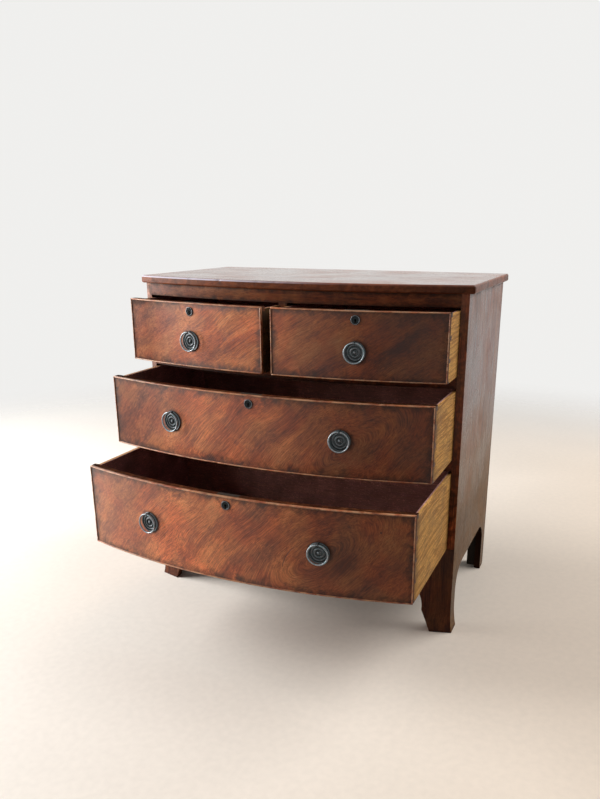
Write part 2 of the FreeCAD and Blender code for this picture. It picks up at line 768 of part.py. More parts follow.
def make_rear_bracket(label, hand):
    """Plain bracket across the back of a rear foot, its foot held off the floor."""
    body = new_body(label)
    wall = mirrored(hand, half_inside)
    foot = mirrored(hand, half_inside - bracket_foot)
    wide = mirrored(hand, half_inside - bracket_width)
    face = sketch_on(body, "XZ", y=side_depth)
    outline(face, [(wall, bracket_lift), (foot, bracket_lift), (foot, bracket_shoulder),
                   (wide, bracket_shoulder + bracket_width - bracket_foot, bracket_scroll, hand),
                   (wide, back_bottom), (wall, back_bottom)])
    pad(body, face, bracket_thickness)
    keep(body)


def make_glue_blocks():
    face = bow_radius - foot_thickness
    edge = half_inside - block
    pieces = []
    for name, hand in (("right", 1), ("left", -1)):
        body = new_body("block_front_" + name)
        plan = sketch_on(body, "XY", z=block_lift)
        outline(plan, [(mirrored(hand, edge), bow_y(face, edge)),
                       (mirrored(hand, half_inside), mitre_back, face, hand),
                       (mirrored(hand, half_inside), mitre_back + block),
                       (mirrored(hand, edge), mitre_back + block)])
        pad(body, plan, block_height)
        pieces.append(body)
        across = (edge, half_inside) if hand > 0 else (-half_inside, -edge)
        back = side_depth - bracket_thickness
        pieces.append(board("block_rear_" + name, across, (back - block, back),
                            (block_lift, block_lift + block_height)))
    group("glue_blocks", pieces)


# ---------------------------------------------------------------- one drawer

class Drawer:
    """The limits of one drawer, closed, and the curves its pieces share."""

    def __init__(self, name, x0, x1, base, height, opened, lock_x, handles, handle_z):
        self.name = name
        self.x0 = x0
        self.x1 = x1
        self.base = base
        self.top = base + height
        self.opened = opened
        self.lock_x = lock_x
        self.handles = handles
        self.handle_z = handle_z
        self.in0 = x0 + side_thickness
        self.in1 = x1 - side_thickness
        self.inner_face = bow_radius - front_thickness
        self.seat0 = bow_y(self.inner_face, self.in0)
        self.seat1 = bow_y(self.inner_face, self.in1)
        self.side_low = base - gap_bottom + glide
        self.side_high = self.top - side_drop
        self.bottom_low = self.side_low + bottom_rise
        self.back_low = self.bottom_low + bottom_thickness
        self.back_high = self.side_high - back_drop
        self.groove_face = self.inner_face + bottom_groove
        self.key_z = self.top - key_drop
        self.tails = count_of(self.side_high - self.side_low, tail_pitch)

    def body(self, part):
        return new_body(part + "_" + self.name, y=-self.opened)

    def fitting(self, part, x, z):
        """A body whose own origin is on the front's surface at x, z, facing out square to it."""
        turn, hand = surface_turn(x)
        across, back = surface_point(x, ZERO, ZERO)
        return new_body(part, across, back - self.opened, z, turn, hand)

    def front_sketch(self, body, x, inward, z):
        """A sketch square to the front's surface at x, sunk inward from it."""
        turn, hand = surface_turn(x)
        across, back = surface_point(x, ZERO, inward)
        return sketch_on(body, "XZ", across, back, z, turn, hand)

    def tail_corners(self, seat, end):
        """The dovetails of one side: for each, its four corners from the lowest up."""
        tip = bow_y(bow_radius, end) + lap
        pitch = (self.side_high - self.side_low) / self.tails
        wide = (pitch - pin_width) / 2
        narrow = wide - (seat - tip) / tail_slope
        for index in range(self.tails):
            middle = self.side_low + pitch * index + pitch / 2
            yield [(seat, middle - narrow), (tip, middle - wide), (tip, middle + wide),
                   (seat, middle + narrow)]

    def pin_corners(self):
        """The pins of the drawer back, seen from the side."""
        near = drawer_reach - drawer_back_thickness
        pitch = (self.back_high - self.back_low) / self.tails
        narrow = pin_width / 2
        wide = narrow + drawer_back_thickness / tail_slope
        for index in range(self.tails):
            middle = self.back_low + pitch * index + pitch / 2
            yield [(near, middle - wide), (drawer_reach, middle - narrow), (drawer_reach, middle + narrow),
                   (near, middle + wide)]


def make_front(drawer):
    """Bowed drawer front: rebated for its cockbeads, grooved, dovetailed, and cut for lock and handles."""
    body = drawer.body("front")
    rebate_face = bow_radius - bead_depth
    core = sketch_on(body, "XY", z=drawer.base)
    outline(core, [(drawer.x0, bow_y(rebate_face, drawer.x0)),
                   (drawer.x1, bow_y(rebate_face, drawer.x1), rebate_face, 1),
                   (drawer.x1, drawer.seat1), (drawer.in1, drawer.seat1),
                   (drawer.in0, drawer.seat0, drawer.inner_face, -1), (drawer.x0, drawer.seat0)])
    pad(body, core, drawer.top - drawer.base)
    face = sketch_on(body, "XY", z=drawer.base + bead_thickness)
    bow_band(face, drawer.x0 + bead_thickness, drawer.x1 - bead_thickness, bow_radius, rebate_face)
    pad(body, face, drawer.top - drawer.base - bead_thickness * 2)
    groove = sketch_on(body, "XY", z=drawer.bottom_low)
    curve = drawer.groove_face
    outline(groove, [(drawer.in0, bow_y(curve, drawer.in0)), (drawer.in1, bow_y(curve, drawer.in1), curve, 1),
                     (drawer.in1, drawer.seat1 + overcut), (drawer.in0, drawer.seat0 + overcut)])
    pocket(body, groove, bottom_thickness, flip=True)
    for end, inner, seat, outwards in ((drawer.x0, drawer.in0, drawer.seat0, False),
                                       (drawer.x1, drawer.in1, drawer.seat1, True)):
        sockets = sketch_on(body, "YZ", x=inner)
        for corners in drawer.tail_corners(seat, end):
            outline(sockets, corners)
        pocket(body, sockets, side_thickness, flip=outwards)
    cut_for_lock(drawer, body)
    for handle_x in drawer.handles:
        hole = drawer.front_sketch(body, handle_x, -bead_depth, drawer.handle_z)
        circle(hole, ZERO, ZERO, post_radius + post_fit)
        pocket(body, hole)
    keep(body)


def cut_for_lock(drawer, body):
    half = lock_width / 2
    near = front_thickness - lock_thickness
    case = drawer.front_sketch(body, drawer.lock_x, near, drawer.key_z)
    rectangle(case, -half, -lock_low, half, key_drop)
    pocket(body, case)
    step = drawer.front_sketch(body, drawer.lock_x, near - selvedge_step, drawer.key_z)
    rectangle(step, -half, key_drop - selvedge, half, key_drop)
    pocket(body, step, selvedge_step + overcut)
    cut_keyhole(body, lambda: drawer.front_sketch(body, drawer.lock_x, -bead_depth, drawer.key_z))


def cut_keyhole(body, new_sketch):
    """A round hole with a slot under it, through the body."""
    hole = new_sketch()
    circle(hole, ZERO, ZERO, keyhole_radius)
    pocket(body, hole)
    half = keyhole_slot / 2
    slot = new_sketch()
    rectangle(slot, -half, -keyhole_length, half, ZERO)
    pocket(body, slot)


def make_beads(drawer):
    """The four cockbeads round a drawer front, each with a rounded nose."""
    outer = bow_radius + bead_stand
    inner = bow_radius - bead_depth
    high = drawer.top - bead_thickness
    low = drawer.base + bead_thickness
    strips = (("lower", drawer.x0, drawer.x1, drawer.base, low),
              ("upper", drawer.x0, drawer.x1, high, drawer.top),
              ("left", drawer.x0, drawer.x0 + bead_thickness, low, high),
              ("right", drawer.x1 - bead_thickness, drawer.x1, low, high))
    pieces = []
    for name, x0, x1, z0, z1 in strips:
        body = drawer.body("bead_" + name)
        plan = sketch_on(body, "XY", z=z0)
        bow_band(plan, x0, x1, outer, inner)
        strip = pad(body, plan, z1 - z0)
        upright = name in ("left", "right")
        dress(body, "Fillet", strip, bead_nose, lambda edge: on_nose(edge, outer.number, upright))
        pieces.append(body)
    group("cockbeads_" + drawer.name, pieces)


def on_nose(edge, radius, upright):
    """Whether the edge lies along the front of a cockbead."""
    if upright != (edge.BoundBox.ZLength > bead_thickness.number):
        return False
    reach = [math.hypot(corner.X, corner.Y - bow_centre.number) for corner in edge.Vertexes]
    return same_length(min(reach), radius)


def make_drawer_sides(drawer):
    """Two sides, dovetailed into the front and cut for the pins of the back."""
    pieces = []
    for name, end, inner, seat, outwards in (("left", drawer.x0, drawer.in0, drawer.seat0, False),
                                             ("right", drawer.x1, drawer.in1, drawer.seat1, True)):
        body = drawer.body("side_" + name)
        face = sketch_on(body, "YZ", x=inner)
        tails = [corner for corners in drawer.tail_corners(seat, end) for corner in corners]
        back_edge = [(drawer_reach, drawer.side_high), (drawer_reach, drawer.side_low)]
        outline(face, [(seat, drawer.side_low)] + tails + [(seat, drawer.side_high)] + back_edge)
        pad(body, face, side_thickness, flip=not outwards)
        pins = sketch_on(body, "YZ", x=inner)
        for corners in drawer.pin_corners():
            outline(pins, corners)
        pocket(body, pins, side_thickness, flip=outwards)
        groove = sketch_on(body, "YZ", x=inner)
        rectangle(groove, seat, drawer.bottom_low, drawer_reach + overcut, drawer.back_low)
        pocket(body, groove, bottom_groove, flip=outwards)
        pieces.append(body)
    group("sides_" + drawer.name, pieces)


def make_drawer_back(drawer):
    body = drawer.body("back")
    plan = sketch_on(body, "XY", z=drawer.back_low)
    rectangle(plan, drawer.in0, drawer_reach - drawer_back_thickness, drawer.in1, drawer_reach)
    pad(body, plan, drawer.back_high - drawer.back_low)
    pins = sketch_on(body, "YZ", x=drawer.x0)
    for corners in drawer.pin_corners():
        outline(pins, corners)
    pad(body, pins, drawer.x1 - drawer.x0)
    keep(body)


def make_drawer_bottom(drawer):
    body = drawer.body("bottom")
    curve = drawer.groove_face
    edge0 = drawer.in0 - bottom_groove
    edge1 = drawer.in1 + bottom_groove
    plan = sketch_on(body, "XY", z=drawer.bottom_low)
    outline(plan, [(drawer.in0, bow_y(curve, drawer.in0)), (drawer.in1, bow_y(curve, drawer.in1), curve, 1),
                   (drawer.in1, drawer.seat1), (edge1, drawer.seat1), (edge1, drawer_reach),
                   (edge0, drawer_reach), (edge0, drawer.seat0), (drawer.in0, drawer.seat0)])
    pad(body, plan, bottom_thickness)
    keep(body)


# ---------------------------------------------------------------- lock, escutcheon and ring pulls

def make_lock(drawer):
    """Lock case with its edge plate, key pin and the slot its bolt slides in."""
    body = drawer.fitting("lock_" + drawer.name, drawer.lock_x, drawer.key_z)
    half = lock_width / 2
    near = front_thickness - lock_thickness
    case = sketch_on(body, "XY", z=-lock_low)
    rectangle(case, -half, near, half, front_thickness)
    pad(body, case, lock_low + key_drop)
    plate = sketch_on(body, "XY", z=key_drop - selvedge)
    rectangle(plate, -half, near - selvedge_step, half, front_thickness)
    pad(body, plate, selvedge)
    slot = sketch_on(body, "XY", z=key_drop)
    side = bolt_width / 2 + bolt_fit
    bolt_near = near + bolt_set
    rectangle(slot, -side, bolt_near - bolt_fit, side, bolt_near + bolt_thickness + bolt_fit)
    pocket(body, slot, bolt_height)
    pin = sketch_on(body, "XZ", y=near)
    circle(pin, ZERO, ZERO, key_pin)
    pad(body, pin, near - selvedge)
    keep(body)


def make_bolt(drawer):
    body = drawer.fitting("bolt_" + drawer.name, drawer.lock_x, drawer.key_z)
    near = front_thickness - lock_thickness + bolt_set
    half = bolt_width / 2
    plan = sketch_on(body, "XY", z=key_drop - bolt_height)
    rectangle(plan, -half, near, half, near + bolt_thickness)
    pad(body, plan, bolt_height)
    keep(body)


def make_escutcheon(drawer):
    """A turned disc with a raised rim, pierced by the keyhole."""
    body = drawer.fitting("escutcheon_" + drawer.name, drawer.lock_x, drawer.key_z)
    edge = escutcheon_rim / 2
    inner = escutcheon_radius - escutcheon_bead
    slope = escutcheon_rim - escutcheon_web
    profile = sketch_on(body, "YZ")
    outline(profile, [(ZERO, ZERO), (ZERO, escutcheon_radius), (-edge, escutcheon_radius),
                      (-escutcheon_rim, escutcheon_radius - edge, edge, 1),
                      (-escutcheon_rim, inner + slope), (-escutcheon_web, inner),
                      (-escutcheon_web, ZERO)])
    revolve(body, profile, "H_Axis")
    cut_keyhole(body, lambda: sketch_on(body, "XZ", y=-escutcheon_rim - overcut))
    keep(body)


def hinge_height():
    """The hinge pin of a ring pull above the middle of its plate."""
    return ring_radius * ring_cosine


def make_plate(drawer, label, x):
    """Turned backplate: rim, two raised rings and a boss, with its knob and threaded post."""
    body = drawer.fitting(label, x, drawer.handle_z)
    dome = crown_radius(boss_radius, boss_height - plate_floor)
    face = [(ZERO, ZERO), (-boss_height, ZERO), (-plate_floor, boss_radius, dome, -1)]
    beads = ((inner_bead, inner_bead_half, inner_bead_rise), (outer_bead, outer_bead_half, outer_bead_rise),
             (plate_radius - rim_bead_half, rim_bead_half, rim_bead_rise))
    for radius, half, rise in beads:
        face.append((-plate_floor, radius - half))
        face.append((-plate_floor, radius + half, crown_radius(half, rise), -1))
    profile = sketch_on(body, "YZ")
    outline(profile, face + [(ZERO, plate_radius)])
    revolve(body, profile, "H_Axis")
    post = sketch_on(body, "XZ")
    circle(post, ZERO, ZERO, post_radius)
    pad(body, post, front_thickness + nut_seat + nut_thickness + post_tail, flip=True)
    knob = sketch_on(body, "YZ", z=hinge_height())
    neck = ring_stand - root(knob_ball * knob_ball - knob_stem * knob_stem)
    outline(knob, [(ZERO, ZERO), (ZERO, knob_collar), (-knob_collar_height, knob_collar),
                   (-knob_collar_height, knob_stem), (-neck, knob_stem),
                   (-ring_stand - knob_ball, ZERO, knob_ball, 1)])
    revolve(body, knob, "H_Axis")
    hole = sketch_on(body, "YZ")
    circle(hole, -ring_stand, hinge_height(), pintle + pintle_fit)
    pocket(body, hole, (knob_ball + overcut) * 2, both=True)
    return body


def make_nut(drawer, label, x):
    body = drawer.fitting(label, x, drawer.handle_z)
    flat = nut_radius * root(sized(3)) / 2
    face = sketch_on(body, "XZ", y=front_thickness + nut_seat)
    outline(face, [(nut_radius, ZERO), (nut_radius / 2, flat), (-nut_radius / 2, flat), (-nut_radius, ZERO),
                   (-nut_radius / 2, -flat), (nut_radius / 2, -flat)])
    circle(face, ZERO, ZERO, post_radius + post_fit / 2)
    pad(body, face, nut_thickness, flip=True)
    return body


def make_ring(drawer, label, x):
    """Ring with an opening at the top, closed by the straight pin that turns in the plate's knob."""
    body = drawer.fitting(label, x, drawer.handle_z)
    wire = sketch_on(body, "YZ")
    circle(wire, -ring_stand, -ring_radius, ring_wire)
    revolve(body, wire, "H_Axis", sized(360) - ring_gap_angle, both=True)
    pin = sketch_on(body, "YZ")
    circle(pin, -ring_stand, hinge_height(), pintle)
    pad(body, pin, (ring_radius * ring_sine + ring_wire / 2) * 2, both=True)
    keep(body)


def make_handles(drawer):
    names = [""] if len(drawer.handles) == 1 else ["_left", "_right"]
    pieces = []
    for suffix, x in zip(names, drawer.handles):
        pieces.append(make_plate(drawer, "plate_" + drawer.name + suffix, x))
        pieces.append(make_nut(drawer, "nut_" + drawer.name + suffix, x))
        make_ring(drawer, "ring_" + drawer.name + suffix, x)
    group("handle_plates_" + drawer.name, pieces)


def make_drawer(drawer):
    make_front(drawer)
    make_beads(drawer)
    make_drawer_sides(drawer)
    make_drawer_back(drawer)
    make_drawer_bottom(drawer)
    make_lock(drawer)
    make_bolt(drawer)
    make_escutcheon(drawer)
    make_handles(drawer)


# ---------------------------------------------------------------- the whole chest

def short_inner():
    return divider_width / 2 + gap_side


def outer_limit():
    return half_inside - gap_side


def short_middle():
    return (short_inner() + outer_limit()) / 2


def make_case():
    make_top()
    make_side("side_right", 1)
    make_side("side_left", -1)
    make_rail("frieze_rail", 0, bow_radius, (-short_middle(), short_middle()), False)
    make_rail("rail_upper", 1, bow_radius, (ZERO,), True)
    make_rail("rail_middle", 2, bow_radius, (ZERO,), True)
    make_rail("rail_base", 3, bow_radius - foot_thickness, (), True)
    make_divider()
    make_runners()
    make_dust_boards()
    make_stops()
    make_back_boards()
    make_apron()
    make_front_foot("foot_front_right", 1)
    make_front_foot("foot_front_left", -1)
    make_rear_bracket("bracket_rear_right", 1)
    make_rear_bracket("bracket_rear_left", -1)
    make_glue_blocks()


def make_drawers():
    near, far, middle = short_inner(), outer_limit(), short_middle()
    short_handle = short_base + short_height / 2 - handle_low
    pair = (-handle_spread, handle_spread)
    make_drawer(Drawer("short_left", -far, -near, short_base, short_height, opened_short_left,
                       -middle, (-middle,), short_handle))
    make_drawer(Drawer("short_right", near, far, short_base, short_height, opened_short_right,
                       middle, (middle,), short_handle))
    make_drawer(Drawer("upper_long", -far, far, long_base, long_height, opened_long,
                       ZERO, pair, long_base + long_height / 2))
    make_drawer(Drawer("lower_long", -far, far, deep_base, deep_height, opened_deep,
                       ZERO, pair, deep_base + deep_height / 2))


def cuts_nothing(cut):
    """Whether a pocket leaves its body as it was, but for rounding."""
    rounding = 0.5
    return cut.Shape.Volume > cut.BaseFeature.Shape.Volume - rounding


def check_and_write():
    doc.recompute()
    for made in doc.Objects:
        if "Invalid" in made.State or "Error" in made.State:
            raise RuntimeError(made.Label + " did not build")
        if made.TypeId == "PartDesign::Pocket" and cuts_nothing(made):
            raise RuntimeError(made.Label + " cuts nothing")
    os.makedirs("parts", exist_ok=True)
    for made in nodes:
        shape = made.Shape
        if shape.isNull() or not shape.isValid():
            raise RuntimeError(made.Label + " has no valid shape")
        shape.exportStep(os.path.join("parts", made.Label + ".step"))


make_case()
make_drawers()
check_and_write()
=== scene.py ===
"""Bow front chest of drawers: finishes, trim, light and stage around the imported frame."""
import math

import bmesh
import bpy
from bpy.props import FloatProperty, FloatVectorProperty, PointerProperty
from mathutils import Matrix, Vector, noise


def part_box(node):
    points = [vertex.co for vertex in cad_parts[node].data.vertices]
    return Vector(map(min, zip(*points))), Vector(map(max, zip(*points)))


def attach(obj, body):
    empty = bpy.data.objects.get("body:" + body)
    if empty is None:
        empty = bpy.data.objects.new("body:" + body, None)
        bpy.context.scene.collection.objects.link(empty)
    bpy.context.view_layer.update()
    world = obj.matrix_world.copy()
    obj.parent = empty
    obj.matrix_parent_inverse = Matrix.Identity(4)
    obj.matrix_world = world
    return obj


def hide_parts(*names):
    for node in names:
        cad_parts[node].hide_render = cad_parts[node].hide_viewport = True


bl_info = {
    "name": "Bow front chest of drawers",
    "version": (1, 0, 0),
    "blender": (4, 5, 0),
    "location": "View3D > Sidebar > Chest",
    "description": "Finishes, trim, light and stage for a bow front chest of drawers",
    "category": "Object",
}

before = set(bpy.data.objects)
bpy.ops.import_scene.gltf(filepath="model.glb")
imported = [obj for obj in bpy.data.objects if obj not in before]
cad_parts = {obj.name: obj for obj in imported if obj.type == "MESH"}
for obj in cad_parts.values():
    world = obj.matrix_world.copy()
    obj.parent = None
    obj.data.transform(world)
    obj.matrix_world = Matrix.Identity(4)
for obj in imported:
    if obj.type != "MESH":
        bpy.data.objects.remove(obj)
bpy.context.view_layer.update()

OPENED = {"short_left": 0.094, "short_right": 0.094, "upper_long": 0.190, "lower_long": 0.310}
DRAWERS = tuple(OPENED)
# The bow is an upright cylinder about an axis behind the chest.
BOW_RADIUS = 1.58603
BOW_CENTRE = 1.48203
TOP_RADIUS = BOW_RADIUS + 0.007
QUARTER = math.pi / 2

# Radius and half width of the hollows and the high circles of the turned fittings.
HOLLOWS = ((0.0065, 0.0018), (0.0140, 0.0018), (0.0206, 0.0022))
CRESTS = ((0.0036, 0.0009), (0.0105, 0.0010), (0.0176, 0.0008))
KEY_CREST = ((0.0099, 0.0010),)
TOOL_MARK = 0.0009

# Grain directions: the turn that lays the x axis along the grain.
ALONG_WIDTH = (0.0, 0.0, 0.0)
ALONG_DEPTH = (0.0, 0.0, QUARTER)
ALONG_HEIGHT = (0.0, -QUARTER, 0.0)

# Streaks, lines, fibres, dashes and pores of mahogany: length, width, detail, roughness, seed.
MAHOGANY_GRAIN = (
    (0.1, 0.006, 3.0, 0.62, 5.0), (0.14, 0.0017, 3.0, 0.60, 6.0),
    (0.018, 0.0006, 2.0, 0.50, 7.0), (0.015, 0.002, 2.0, 0.60, 8.0),
    (0.007, 0.00075, 2.0, 0.70, 9.0),
)
# Mottle, specks, clouds and redness of mahogany: scale, detail, roughness, distortion, seed.
MAHOGANY_CLOUDS = (
    (42.0, 4.0, 0.62, 0.8, 10.0), (210.0, 2.0, 0.50, 0.0, 11.0), (8.0, 3.0, 0.50, 0.0, 13.0),
    (15.0, 3.0, 0.50, 0.0, 15.0),
)
RUST = (0.075, 0.040, 0.022)
# Painted shade on the lock iron seen through the keyholes.
KEYHOLE_SHADE = (0.010, 0.010, 0.010)


# Sizes and colours a user may change

def colour(name, description, default):
    return FloatVectorProperty(
        name=name, description=description, subtype="COLOR", size=3, min=0.0, max=1.0,
        default=default)


def field(**kind):
    """A maker of number properties of one kind."""
    return lambda name, description, default: FloatProperty(
        name=name, description=description, default=default, min=0.0, **kind)


length = field(subtype="DISTANCE", unit="LENGTH", precision=5)
power = field(subtype="POWER", unit="POWER")
share = field(subtype="FACTOR", max=1.0)
strength = field()


class MahoganyFinish(bpy.types.PropertyGroup):
    """Colour and polish of the mahogany."""
    shadow: colour("Shadow", "Darkest streak of the figure", (0.092, 0.026, 0.014))
    body: colour("Body", "Main colour of the polished wood", (0.255, 0.074, 0.032))
    flame: colour("Flame", "Orange streak of the figure", (0.460, 0.148, 0.052))
    glint: colour("Glint", "Palest streak of the figure", (0.600, 0.255, 0.105))
    warmth: colour("Warmth", "Tint of the reddest wood", (1.000, 0.800, 0.780))
    # Also laid as painted shade on the arch edges of the sides and inside the keyholes.
    grime_and_shade: colour("Grime", "Old wax and dirt in the corners", (0.018, 0.008, 0.005))
    # On the cockbeads this pale tone is partly rubbed wood and partly painted highlight.
    bare: colour("Bare", "Wood showing where an edge is rubbed", (0.620, 0.360, 0.200))
    polish: share("Roughness", "Roughness of the old polish", 0.36)


class OakFinish(bpy.types.PropertyGroup):
    """Colour of the bare oak of the drawers."""
    early: colour("Early wood", "Pale part of a growth ring", (0.700, 0.370, 0.105))
    late: colour("Late wood", "Dark part of a growth ring", (0.350, 0.155, 0.042))
    stain: colour("Stain", "Dark marks and handled places", (0.100, 0.045, 0.018))
    # Partly painted shade: darker and cooler than bare oak, as the drawers' insides look in shade.
    inside: colour("Inside", "Oak in the drawer, browned by age", (0.415, 0.214, 0.204))


class SoftwoodFinish(bpy.types.PropertyGroup):
    """Colour of the hidden softwood."""
    early: colour("Early wood", "Pale part of a growth ring", (0.170, 0.095, 0.045))
    late: colour("Late wood", "Dark part of a growth ring", (0.085, 0.040, 0.018))
    dust: colour("Dust", "Dust that lies in the grain", (0.160, 0.130, 0.100))


class BrassFinish(bpy.types.PropertyGroup):
    """Colour of the fittings."""
    skin: colour("Skin", "Dark patina", (0.046, 0.048, 0.052))
    bloom: colour("Bloom", "Grey-green bloom in the hollows", (0.060, 0.090, 0.098))
    rubbed: colour("Rubbed", "Metal rubbed bare on the high parts", (0.350, 0.350, 0.375))
    iron: colour("Iron", "Lock iron", (0.052, 0.044, 0.038))


class TrimSizes(bpy.types.PropertyGroup):
    """Rounding of worn edges and the size of the cockbeads."""
    arris: length("Arris", "Rounding of a worn wooden edge", 0.0009)
    toe_round: length("Toe rounding", "Rounding of the worn feet", 0.0055)
    fine_arris: length("Fine arris", "Rounding of a thin or small edge", 0.0004)
    iron_arris: length("Iron arris", "Rounding of the locks' filed edges", 0.0002)
    edge_round: length("Top rounding", "Rounding of the top's upper edge", 0.006)
    edge_undercut: length("Top undercut", "Bevel under the edge of the top", 0.0025)
    bead_width: length("Bead width", "Width of a cockbead", 0.003)
    bead_stand: length("Bead stand", "Cockbead before the drawer front", 0.002)
    bead_root: length("Bead root", "Cockbead let into the drawer front", 0.005)
    bead_wear: length("Bead wear", "How far the cockbeads are rubbed down", 0.0005)


class StageSettings(bpy.types.PropertyGroup):
    """Light, floor and backdrop."""
    window: power("Window light", "Power of the large soft light on the left", 270.0)
    fill: power("Side fill", "Power of the soft light beyond the right side", 70.0)
    sky: strength("Room light", "Strength of the even light from all round", 0.09)
    paper: colour("Backdrop", "Colour behind the chest", (0.870, 0.865, 0.850))
    floor: colour("Floor", "Colour of the floor at the left", (0.950, 0.890, 0.820))
    # Painted light: the floor is warmer toward the right, standing in for warm light there.
    floor_warm_light: colour("Warm floor", "Colour of the floor at the right", (0.930, 0.790, 0.655))
    bounce: share("Floor bounce", "Share of the floor's colour that lights the chest", 0.20)
    floor_reach: length("Floor radius", "Radius of the floor", 6.0)


class ChestSettings(bpy.types.PropertyGroup):
    """All settings of the chest."""
    mahogany: PointerProperty(type=MahoganyFinish)
    oak: PointerProperty(type=OakFinish)
    softwood: PointerProperty(type=SoftwoodFinish)
    brass: PointerProperty(type=BrassFinish)
    trim: PointerProperty(type=TrimSizes)
    stage: PointerProperty(type=StageSettings)


def settings():
    return bpy.context.scene.chest


# Material nodes

def fold(operation):
    """A method that works through any number of values from the first on."""
    def folded(self, total, *others):
        for other in others:
            total = self.math(operation, total, other)
        return total
    return folded


class Graph:
    """A node tree, with short names for the nodes it uses."""
    plus = fold("ADD")
    times = fold("MULTIPLY")
    least = fold("MINIMUM")
    most = fold("MAXIMUM")

    def __init__(self, tree):
        self.tree = tree
        tree.nodes.clear()

    def add(self, kind, inputs=(), **values):
        """A node with its sockets filled, in order or by their numbers and names."""
        node = self.tree.nodes.new(kind)
        for key, value in values.items():
            setattr(node, key, value)
        for socket, value in inputs.items() if isinstance(inputs, dict) else enumerate(inputs):
            self.plug(node.inputs[socket], value)
        return node

    def plug(self, socket, value):
        if isinstance(value, bpy.types.NodeSocket):
            self.tree.links.new(value, socket)
        elif isinstance(value, float):
            socket.default_value = value
        else:
            socket.default_value = (*value, 1.0)[:len(socket.default_value)]

    def math(self, operation, *values):
        return self.add("ShaderNodeMath", values, operation=operation).outputs[0]

    def vector(self, operation, *values):
        return self.add("ShaderNodeVectorMath", values, operation=operation).outputs

    def minus(self, first, second):
        return self.math("SUBTRACT", first, second)

    def gap(self, first, second):
        """How far apart two values are."""
        return self.math("ABSOLUTE", self.minus(first, second))

    def step(self, value, start, end, low=0.0, high=1.0):
        """A smooth change from low to high as the value goes from start to end."""
        return self.add("ShaderNodeMapRange", (value, start, end, low, high),
                        interpolation_type="SMOOTHSTEP").outputs[0]

    def near(self, distance, reach, firm, full=1.0):
        """Full within a firm share of the reach, and nothing beyond the reach."""
        return self.step(distance, reach, reach * firm, 0.0, full)

    def vary(self, cloud, low, high, spread=0.2):
        """Follows a cloud, whose values lie mostly within a spread of a half."""
        return self.step(cloud, 0.5 - spread, 0.5 + spread, low, high)

    def uneven(self, cloud, reach, value):
        """A value moved up and down by a cloud."""
        return self.math("MULTIPLY_ADD", self.minus(cloud, 0.5), reach, value)

    def seen(self):
        """True for what the camera sees, directly or mirrored."""
        paths = self.add("ShaderNodeLightPath").outputs
        return self.most(
            paths["Is Camera Ray"], paths["Is Glossy Ray"], paths["Is Transmission Ray"])


